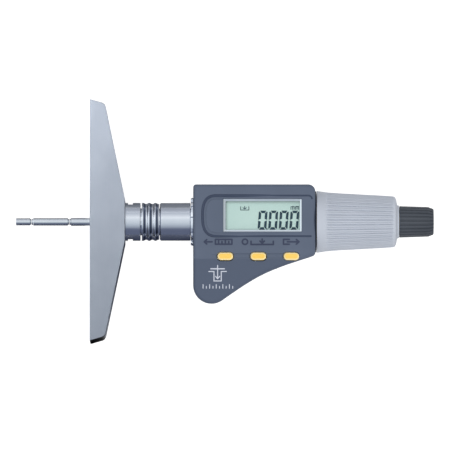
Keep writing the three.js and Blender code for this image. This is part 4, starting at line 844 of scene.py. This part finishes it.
panel_hollow = fading(panel_line(1.15, 0.5), LEFT + 20, LEFT + 44, 0.45)
panel_corner = fading(panel_line(-0.05, 0.1), LEFT + 16, LEFT + 42, 0.75)
trough_y = sum(y for x, y in key_places) / 3
trough_x = [LEFT + 6 + (RIGHT - 4 - LEFT - 6) * k / 24 for k in range(25)]
trough_lift = [1.25 + 0.5 * max(1 - k / 4, 0, (k - 20) / 4) for k in range(25)]
key_trough = [(x, trough_y, TOP - sink(trough_y) + lift) for x, lift in zip(trough_x, trough_lift)]
# The panel corner and the panel line leave their darker material on the cut, which paints shade into the groove.
for name, path, radius, sides, material in (
    ("panel hollow", panel_hollow, 1.6, 40, None), ("panel corner", panel_corner, 0.66, 24, GROOVE_PAINTED_SHADE),
    ("panel line", panel_line(0.1), 0.38, 20, GROOVE_PAINTED_SHADE), ("key trough", key_trough, 1.65, 40, None),
):
    carve(front_shell, [bar(name, path, radius, sides, material)])
dress(front_shell, "housing_plastic", "housing_front")

# %% [markdown]
# ## Rear shell
# The back is the same outline with its own rim, a round bay for the coin cell and four counterbored screw holes. Its
# edge lies a little further in than the front shell's, so that it doesn't show from above.

# %% Rear shell
REAR_RIM, REAR_INSET = 0.9, 1.4
rear_rings = [level_ring(AXIS - PARTING, FLANK_INSET)]
rear_rings += [level_ring(BOTTOM + REAR_RIM * (1 - math.sin(a)), REAR_INSET + REAR_RIM * (1 - math.cos(a)))
               for a in rim_angles]
rear_rings.append(level_ring(BOTTOM, 2.45))
rear_shell = mesh_object("housing_rear_shell", *skin(rear_rings), SHELL_ABS)
cover_low, cover_high = box_mm("battery_cover")
bay_x, bay_y = (cover_low + cover_high).xy / 2
cover_radius = (cover_high.x - cover_low.x) / 2
scale_low, scale_high = box_mm("scale_board")
carve(rear_shell, [hollow(INNER_BOTTOM, AXIS + 1)])
carve(rear_shell, [
    *[drum("boss", x, y, INNER_BOTTOM - BOSS_ROOT, AXIS - PARTING, REAR_BOSS_R) for x, y in screw_places],
    *[box("rib", x - 0.8, x + 0.8, scale_low.y - 0.15, scale_high.y + 0.15, INNER_BOTTOM - BOSS_ROOT,
          scale_low.z - 0.3) for x in (scale_low.x + 3, scale_high.x - 3)],
], join=True)
carve(rear_shell, [
    *[drum("shank hole", x, y, BOTTOM - 1, AXIS + 1, PILOT_R) for x, y in screw_places],
    drum("bay", bay_x, bay_y, BOTTOM - 1, INNER_BOTTOM + 1, cover_radius + 0.15, 128),
])
carve(rear_shell, [
    *[drum("head hole", x, y, BOTTOM - 1, BOTTOM + 1.5, HEAD_HOLE_R) for x, y in screw_places], *holes_on_axis(),
])
dress(rear_shell, "housing_plastic", "housing_rear")

# %% [markdown]
# ## Keys
# Each key is a rubber oval with a rounded shoulder and a shallow dish, on a foot that keeps it in the shell. A stack
# of ovals, each drawn in a little more than the last, gives the shoulder and the dish in one skin.

# %% Keys
KEY_LENGTH, KEY_WIDTH, KEY_FOOT, KEY_FOOT_TOP = 6.4, 3.1, 22.9, 23.7
KEY_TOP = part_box("key_left")[1].z / MM
key_levels = [(KEY_FOOT, 0), (25.5, 0), (25.72, 0.05), (25.9, 0.17), (26.02, 0.33), (26.11, 0.52), (26.17, 0.74),
              (KEY_TOP, 0.95), (KEY_TOP - 0.02, 1.15), (KEY_TOP - 0.03, 1.35)]
for node, (x, y), trim in zip(key_nodes, key_places, FOOT_TRIMS):
    rings = [lifted(oval(x, y, KEY_LENGTH - 2 * inset, KEY_WIDTH - 2 * inset), z) for z, inset in key_levels]
    key = mesh_object(node + "_cap", *skin(rings), KEY_SILICONE)
    carve(key, [box("foot", x - 3.3, x + 3.3 - trim, y - 1.0, y + KEY_OFF, KEY_FOOT, KEY_FOOT_TOP)], join=True)
    dress(key, "key_rubber", node, body=node)

# %% [markdown]
# ## Window
# The window sits a little below the face. Round it runs a milled bevel that slopes down to the glass: its lower and
# right sides look up to the lamp and shine, and its upper and left sides stay dim.

# %% Window and bevel
LOWER_SIDE = 1.22  # the bevel is this much wider along its lower side
BEVEL_BOTTOM, BEVEL_TOP = 24.2, 25.0


def rectangle(inset, z, more=0):
    x0, x1 = VIEW_X0 - BEZEL_MORE_X * more + inset, VIEW_X1 - inset
    y0, y1 = VIEW_Y0 + inset * LOWER_SIDE, VIEW_Y1 + BEZEL_MORE_Y * more - inset
    return lifted(rounded(x0, x1, y0, y1, 0.3), z)


bevel_rings = [rectangle(0.08, BEVEL_BOTTOM, 1), rectangle(0.08, BEVEL_TOP - 0.05, 1), rectangle(0.12, BEVEL_TOP, 1),
               rectangle(0.7, 24.72), rectangle(0.7, BEVEL_BOTTOM)]
points, faces = skin(bevel_rings, closed_ends=False)
count, last = len(bevel_rings[0]), (len(bevel_rings) - 1) * len(bevel_rings[0])
faces += [(last + i, last + (i + 1) % count, (i + 1) % count, i) for i in range(count)]
dress(mesh_object("window_bevel", points, faces, BEZEL), "clear_plastic")
pane_rings = [rectangle(0.74, BEVEL_BOTTOM), rectangle(0.74, 24.55), rectangle(0.84, 24.65)]
dress(mesh_object("display_window", *skin(pane_rings), ACRYLIC), "clear_plastic", "lcd_window")

# %% [markdown]
# ## Figures on the display
# A figure is built from segments, here the six that make a nought, each a slim plate with slanted ends. The tree
# copies it along a row at an even pitch, just as the real cell repeats one figure.

# %% Segments
PANE_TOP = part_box("lcd_panel")[1].z / MM
INK_LIFT, PLATE = 0.02, 0.04
STEP = 0.004  # each plate is a little thicker than the last, so that strokes that cross share no face


def plates(name, polygons, z, material, thickness=PLATE):
    points, faces = [], []
    for i, polygon in enumerate(polygons):
        more, sides = skin([lifted(polygon, h) for h in (z, z + thickness + STEP * (i % 12))])
        faces += [tuple(k + len(points) for k in side) for side in sides]
        points += more
    return mesh_object(name, points, faces, material)


def moved(polygons, x, y):
    return [[(x + px, y + py) for px, py in polygon] for polygon in polygons]


def nought():
    w, h, t, gap, lean = 3.65, 7.9, 1.04, 0.1, 0.073  # width, height, stroke, space between segments, slant
    bars = [[(gap + t * 0.5, h), (w - gap - t * 0.5, h), (w - t - gap, h - t), (t + gap, h - t)]]
    bars.append([(0, h - t * 0.45 - gap), (t * 0.35, h - t * 0.25 - gap), (t, h - t - gap),
                 (t, h / 2 + gap + t * 0.45), (0, h / 2 + gap)])
    bars.append([(w - x, y) for x, y in bars[1]])
    bars += [[(x, h - y) for x, y in part] for part in bars[:3]]
    return [[(x + y * lean, y) for x, y in part] for part in bars]


def row_tree():
    tree, given = new_tree("Copies in a row", {"Count": "Int", "Pitch": "Float"})
    pitch = add(tree, "ShaderNodeCombineXYZ", {"X": given["Pitch"]})
    line = add(tree, "GeometryNodeMeshLine", {"Count": given["Count"], "Offset": pitch})
    copies = add(tree, "GeometryNodeInstanceOnPoints", {"Points": line, "Instance": given["Geometry"]})
    return end_tree(tree, copies, given)


ROW = row_tree()
digit_x, digit_y = FACE + 69.27, -4.05
figures = plates("display_figures", moved(nought(), digit_x, digit_y), PANE_TOP + INK_LIFT, SEGMENT_INK)
grow(figures, ROW, Count=4, Pitch=4.37 * MM, Material=SEGMENT_INK)
tidy(figures)
dress(figures, "display_glass")

# %% [markdown]
# ## Marks
# Small marks are strokes of one width with round ends: a unit and a tray on the display, pictograms for the keys, a
# sign for depth, and a short rule of ticks. They are thin plates on the surface, as print is. Each path is written
# as its points, with a comma between two points and a slash where the pen is lifted.

# %% Strokes
def stroke(a, b, width):
    start, end = Vector(a), Vector(b)
    way = (end - start).normalized()
    heading = math.atan2(way.y, way.x)
    made = []
    for middle, first in ((start, heading + math.pi / 2), (end, heading - math.pi / 2)):
        angles = [first + math.pi * k / 6 for k in range(7)]
        made += [tuple(middle + width / 2 * Vector((math.cos(a), math.sin(a)))) for a in angles]
    return made


def along(points, width):
    return [stroke(a, b, width) for a, b in zip(points, points[1:])]


def drawn(text, width, x=0, y=0):
    paths = [[tuple(map(float, point.split())) for point in path.split(",")] for path in text.split("/")]
    return [made for path in paths for made in along([(x + px, y + py) for px, py in path], width)]


LETTER_M = "0 0, 0 1.0625 / 0.65 0, 0.65 1.0625 / 1.3 0, 1.3 1.0625 / 0 1.0625, 0.65 1.25 / 0.65 1.0625, 1.3 1.25"
TRAY_SIGN = "0 1.4, 0 0, 3.4 0, 3.4 1.4 / 1.7 1.5, 1.7 0.4 / 1 0.95, 1.7 0.4, 2.4 0.95"
DOT = [[(3.62, 0), (4.12, 0), (4.18, 0.62), (3.68, 0.62)]]
unit_x = FACE + 83.1
marks = [part for x in (unit_x, unit_x + 1.85) for part in drawn(LETTER_M, 0.3, x, 4.35)]
marks += moved(DOT, digit_x, digit_y) + drawn(TRAY_SIGN, 0.28, FACE + 62.3, 4.1)
dress(plates("display_marks", marks, PANE_TOP + INK_LIFT, SEGMENT_INK), "display_glass")


# %% [markdown]
# The keys are told apart by pictograms: a ruler beside an arrow for the unit, a nought with a base line for zeroing,
# and an arrow that leaves a box for sending a reading.

# %% Key pictograms
def print_on_face(made, lift=0.012):
    for vert in made.data.vertices:
        vert.co.z += (lift - sink(vert.co.y / MM)) * MM
    tidy(made)
    dress(made, "housing_plastic")


PRINT, LINE, PICTOGRAM_Y = 0.03, 0.68, -9.2
unit_sign = drawn("0 0, 3.2 0 / 1 0.9, 0 0, 1 -0.9 / 4.6 -1, 11.4 -1, 11.4 1, 4.6 1, 4.6 -1 / 5.9 -1, 5.9 0.5 / "
                  "7.3 -1, 7.3 0.1 / 8.7 -1, 8.7 0.5 / 10.1 -1, 10.1 0.1", LINE)
ring = circle(1.1, 0, 1.1, 20)
zero_sign = along(ring + ring[:1], LINE) + drawn(
    "3.6 -1.1, 12.8 -1.1 / 8.2 1.1, 8.2 -0.5 / 7.3 0.3, 8.2 -0.6, 9.1 0.3 / 3.6 -1.1, 3.6 0.2 / "
    "12.8 -1.1, 12.8 0.2", LINE)
send_sign = drawn("2.4 1, 0 1, 0 -1, 2.4 -1 / 1.6 0, 6.4 0 / 5.3 0.95, 6.4 0, 5.3 -0.95", LINE)
pictograms = [polygon for sign, x in ((unit_sign, 47.3), (zero_sign, 63.0), (send_sign, 80.0))
              for polygon in moved(sign, FACE + x, PICTOGRAM_Y)]
print_on_face(plates("key_pictograms", pictograms, TOP, PRINT_DARK, PRINT))

# %% [markdown]
# On the lobe stands a sign that says what the tool does, a bar over a step with an arrow down into it, and under it a
# short rule of ticks, copied in a row by the same tree as the figures.

# %% Depth sign and rule
sign = drawn("-3.6 0.9, -1.5 0.9, -1.5 -3, 1.5 -3, 1.5 0.9, 3.6 0.9", 0.4) + drawn("-2.8 2, 2.8 2", 0.5)
sign += drawn("0 3.4, 0 -2 / -0.85 -1.1, 0 -2.1, 0.85 -1.1", 0.4)
print_on_face(plates("depth_sign", moved(sign, FACE + 52.8, -22.3), TOP, PRINT_PALE, PRINT))

two_ticks = drawn("0 0, 0 1.5 / 1.36 0, 1.36 0.8", 0.34, FACE + 46.8, -28.3)
ticks = plates("rule_ticks", two_ticks, TOP, PRINT_PALE, PRINT)
grow(ticks, ROW, Count=5, Pitch=2.72 * MM, Material=PRINT_PALE)
print_on_face(ticks)

# %% [markdown]
# ## Plug of the data socket
# A small rubber plug fills the socket in the neck end. It has rounded corners and three grip grooves.

# %% Plug
plug_low, plug_high = box_mm("data_port_cover")


def plug_ring(x, inset):
    outline = rounded(plug_low.y + inset, plug_high.y - inset, plug_low.z + inset, plug_high.z - inset, 0.5)
    return [(x, y, z) for y, z in outline]


plug = mesh_object("data_port_plug", *skin([
    plug_ring(plug_high.x, 0.15), plug_ring(plug_high.x - 0.15, 0), plug_ring(plug_low.x + 0.2, 0),
    plug_ring(plug_low.x, 0.2),
]), BLACK_RUBBER)
grip_x, grip_y = plug_low.x - 0.12, (plug_low.y + plug_high.y) / 2
carve(plug, [bar("grip", [(grip_x, grip_y + side, z) for z in (plug_low.z - 1, plug_high.z + 1)], 0.3, 12)
             for side in (-1.2, 0, 1.2)])
dress(plug, "black_rubber", "data_port_cover", body="data_port_cover")

# %% [markdown]
# ## Back: battery cover and screws
# The cover is a disc with a coin slot. Each screw has a low head with a cross recess; one is made, and the tree puts
# a copy of it on each of four points.

# %% Battery cover
def disc_ring(inset, z, sides=128):
    return lifted(circle(bay_x, bay_y, cover_radius - inset, sides), z)


cover_z0 = cover_low.z
cover = mesh_object("battery_cover_disc", *skin([
    disc_ring(0.25, cover_z0), disc_ring(0.07, cover_z0 + 0.07), disc_ring(0, cover_z0 + 0.25),
    disc_ring(0, cover_high.z),
]), SHELL_ABS)
carve(cover, [
    slab("coin slot", oval(bay_x, bay_y, 13, 1.8), cover_z0 - 1, cover_z0 + 0.8),
    drum("ring groove", bay_x, bay_y, cover_z0 - 1, cover_z0 + 0.2, cover_radius - 1.5, 96),
])
dress(cover, "housing_plastic", "battery_cover", body="battery_cover")


# %% Screws
def points_tree():
    tree, given = new_tree("Copies on points", {"Screw": "Object"})
    model = add(tree, "GeometryNodeObjectInfo", {"Object": given["Screw"]}).outputs["Geometry"]
    copies = add(tree, "GeometryNodeInstanceOnPoints", {"Points": given["Geometry"], "Instance": model})
    return end_tree(tree, copies, given)


def screw_model(head_radius, head_depth, shank_radius, length, sides=32):
    section = eased([(0, 0), (head_radius - 0.1, 0), (head_radius, 0.12), (head_radius, head_depth),
                     (shank_radius, head_depth), (shank_radius, length - 0.4), (0.2, length)], False)
    made = mesh_object("screw model", *skin([lifted(circle(0, 0, max(r, 1e-3), sides), z) for r, z in section]))
    half, slot = head_radius * 0.55, 0.24
    carve(made, [box("slot", -half, half, -slot, slot, -1, 0.5), box("slot", -slot, slot, -half, half, -1, 0.5)])
    return made


screw_low, screw_high = box_mm("housing_screw_1")
model = screw_model(head_radius=1.5, head_depth=0.9, shank_radius=0.8, length=screw_high.z - screw_low.z)
screws = mesh_object("housing_screws", lifted(screw_places, screw_low.z))
grow(screws, points_tree(), Screw=model, Material=ZINC_STEEL)
bpy.data.objects.remove(model)
tidy(screws)
dress(screws, "spring_steel", *screw_nodes)

# %% [markdown]
# ## Pieces inside
# What lies inside keeps its CAD shape and only gets its real material.

# %% Finishes of the CAD pieces
FINISHES = {
    "chromed_steel": CHROME, "hardened_steel": LAPPED_STEEL, "ground_steel": GROUND_STEEL, "brass": BRASS,
    "spring_steel": ZINC_STEEL, "housing_plastic": SHELL_ABS, "thimble_plastic": THIMBLE_NYLON,
    "knob_plastic": KNOB_NYLON, "key_rubber": KEY_SILICONE, "black_rubber": BLACK_RUBBER, "clear_plastic": ACRYLIC,
    "display_glass": LCD_BACK, "inner_plastic": INNER_ABS, "board_laminate": LAMINATE,
    "silicone_rubber": SOFT_SILICONE,
}
for part in frame["record"]["subparts"]:
    node = frame["nodes"][part["node"]]
    node.data.materials.clear()
    node.data.materials.append(FINISHES[part["material_slot"]])
print("CAD pieces finished:", len(frame["nodes"]))

# %% [markdown]
# ## Floor, light and camera
# The photograph looks almost straight down with a long lens, on white. A pale floor glows a little for the camera,
# and for gloss and glass, so that it reads as white while it keeps a faint shadow. An even dome and a wide lamp
# overhead light the plastics from all sides.

# %% Floor
floor_material, tree = start_material("Pale studio floor")
ray = add(tree, "ShaderNodeLightPath").outputs
mirrored = add(tree, MATH, {0: ray["Is Glossy Ray"], 1: ray["Is Transmission Ray"]}, operation="MAXIMUM")
in_mirrors = add(tree, MATH, {0: mirrored, 1: 0.3}, operation="MULTIPLY")
glow = add(tree, MATH, {0: ray["Is Camera Ray"], 1: 0.8, 2: in_mirrors}, operation="MULTIPLY_ADD")
matte = add(tree, "ShaderNodeBsdfDiffuse", {"Color": mottled(tree, "#c8c8c8", "#cacaca", (30, 30, 30))})
light = add(tree, "ShaderNodeEmission", {"Color": linear("#ffffff"), "Strength": glow})
add(tree, "ShaderNodeOutputMaterial", {"Surface": add(tree, "ShaderNodeAddShader", {0: matte, 1: light})})


def flat_sheet(name, x0, x1, y0, y1, z, material):
    made = mesh_object(name, [(x0, y0, z), (x1, y0, z), (x1, y1, z), (x0, y1, z)], [(0, 1, 2, 3)], material)
    print("sheet", name)
    return made


REACH = 9000
flat_sheet("floor", -REACH, REACH, -REACH, REACH, -0.05, floor_material)

# %% [markdown]
# Chrome shows whatever stands round it. On a white table its edges would vanish, so photographers lay cards beside
# it, out of the picture: a dark one below gives the dark underside, and a grey one above the dim upper edge. The rods
# have two of their own, and a black one darkens the lower end of the base. Here only reflections see them.

# %% Cards
CARD, BLACK_CARD = -0.04, -0.03  # their heights, above the floor and below the gauge
for name, code, x0, x1, y0, y1, z in (
    ("Dark card", "#555b6e", -44.4, -8, -300, 0, CARD),
    ("Dark far card", "#555b6e", -2500, 2500, -REACH, -300, CARD),
    ("Grey card", "#90949b", -46, -8, 0, 600, CARD),
    ("Dark rod card", "#555b6e", -90, -58, -40, 0, CARD),
    ("Grey rod card", "#565a64", -90, -58, 0, 40, CARD),
    ("Black card", "#040506", -140, -47, -400, -49.6, BLACK_CARD),
):
    material, tree = start_material(name)
    end_material(material, tree, {"Base Color": linear(code), "Roughness": 0.9, "Specular IOR Level": 0.1})
    sheet = flat_sheet(name.replace(" ", "_"), x0, x1, y0, y1, z, material)
    sheet.visible_camera = sheet.visible_diffuse = sheet.visible_shadow = sheet.visible_transmission = False

# %% [markdown]
# The steel and the chrome want narrow lamps that the plastics must not mirror, so those lamps are linked to the
# pieces that they light.

# %% Lamps
def soft_lamp(name, energy, width, depth, place):
    data = bpy.data.lights.new(name, "AREA")
    data.shape, data.size, data.size_y, data.energy = "RECTANGLE", width, depth, energy
    made = placed(name, data)
    made.location = place
    made.visible_camera = False
    return made


def light_only(lamp, *pieces):
    group = bpy.data.collections.new(lamp.name + " lights")
    for piece in pieces:
        group.objects.link(piece)
    lamp.light_linking.receiver_collection = group
    lamp.visible_diffuse = False


overhead = soft_lamp("overhead lamp", 7.5, 1.4, 1.4, (-0.1, -0.35, 1.3))
overhead.visible_glossy = False
chrome_strip = soft_lamp("strip light for chrome", 0.085, 0.9, 0.035, (-0.12, 0.545, 0.36))
light_only(chrome_strip, hub, lock_ring, sleeve, nut, tip, rod, spindle)
light_only(soft_lamp("strip light for the base", 0.31, 0.08, 0.1, (-0.1, 0.118, 0.25)), base)
for side in (-1, 1):
    lamp = soft_lamp(f"side lamp {side}", 2.2, 0.9, 0.45, (side * 0.8, 0, 0.27))
    lamp.rotation_euler = lamp.location.to_track_quat("Z", "Y").to_euler()
    light_only(lamp, base)

# %% [markdown]
# The room is two skies. What gloss mirrors is a ramp from the dark side below to the pale one above, and what lights
# the matte pieces is an almost even dome, a little stronger on the right.

# %% Room
world = bpy.data.worlds.new("Studio room")
world.use_nodes = True
tree = world.node_tree
tree.nodes.clear()
way = add(tree, SPLIT, {0: add(tree, "ShaderNodeTexCoord").outputs["Generated"]}).outputs
height = add(tree, RANGE, {"Value": way["Y"], "From Min": -1.0, "From Max": 1.0})
room = add(tree, "ShaderNodeValToRGB", {"Fac": height})
tones = [
    (0.0, "#5f667b"), (0.06, "#5f667b"), (0.125, "#666d81"), (0.19, "#98a0ac"), (0.305, "#bcc4cc"), (0.41, "#d0d7dc"),
    (0.575, "#dfe5e9"), (0.69, "#f6f9fb"), (0.866, "#c8cdd4"), (0.964, "#b3b7bf"), (1.0, "#a7abb3"),
]
while len(room.color_ramp.elements) < len(tones):
    room.color_ramp.elements.new(0.5)
for element, (position, code) in zip(room.color_ramp.elements, tones):
    element.position, element.color = position, linear(code)
side = add(tree, RANGE, {"Value": way["X"], "From Min": -0.4, "From Max": 0.6, "To Min": 1.4, "To Max": 0.62}, **SOFT)
strength = add(tree, MATH, {0: side, 1: 1.16}, operation="MULTIPLY")
room_light = add(tree, "ShaderNodeBackground", {"Color": room, "Strength": strength})
fill = add(tree, RANGE, {"Value": way["X"], "From Min": -1.0, "From Max": 1.0, "To Min": 0.46, "To Max": 1.04})
falloff = add(tree, RANGE, {"Value": way["Y"], "From Min": 0.0, "From Max": 1.0, "To Min": 1.03, "To Max": 0.76})
dome = add(tree, MATH, {0: fill, 1: falloff}, operation="MULTIPLY")
dome_light = add(tree, "ShaderNodeBackground", {"Color": linear("#ffffff"), "Strength": dome})
is_glossy = add(tree, "ShaderNodeLightPath").outputs["Is Glossy Ray"]
sky = add(tree, "ShaderNodeMixShader", {0: is_glossy, 1: dome_light, 2: room_light})
add(tree, "ShaderNodeOutputWorld", {"Surface": sky})
bpy.context.scene.world = world
print("room tones:", len(tones))

# %% [markdown]
# The camera stands far off with a long lens, tilted a little, so that the lower end of the base just shows.

# %% Camera
FRAME_WIDTH, DISTANCE, TILT, SENSOR = 186.4, 4.0, math.radians(4.2), 36
camera_data = bpy.data.cameras.new("camera")
camera_data.sensor_width, camera_data.lens = SENSOR, SENSOR * DISTANCE / (FRAME_WIDTH * MM)
camera_data.clip_start, camera_data.clip_end = 0.1, 40
camera = placed("camera", camera_data)
target = Vector((0.0001, -0.0013, AXIS * MM))
camera.location = target + DISTANCE * Vector((0, -math.sin(TILT), math.cos(TILT)))
camera.rotation_euler = (TILT, 0, 0)
bpy.context.scene.camera = camera
bpy.context.scene.view_settings.view_transform = "Standard"
print("camera lens, mm:", round(camera_data.lens))
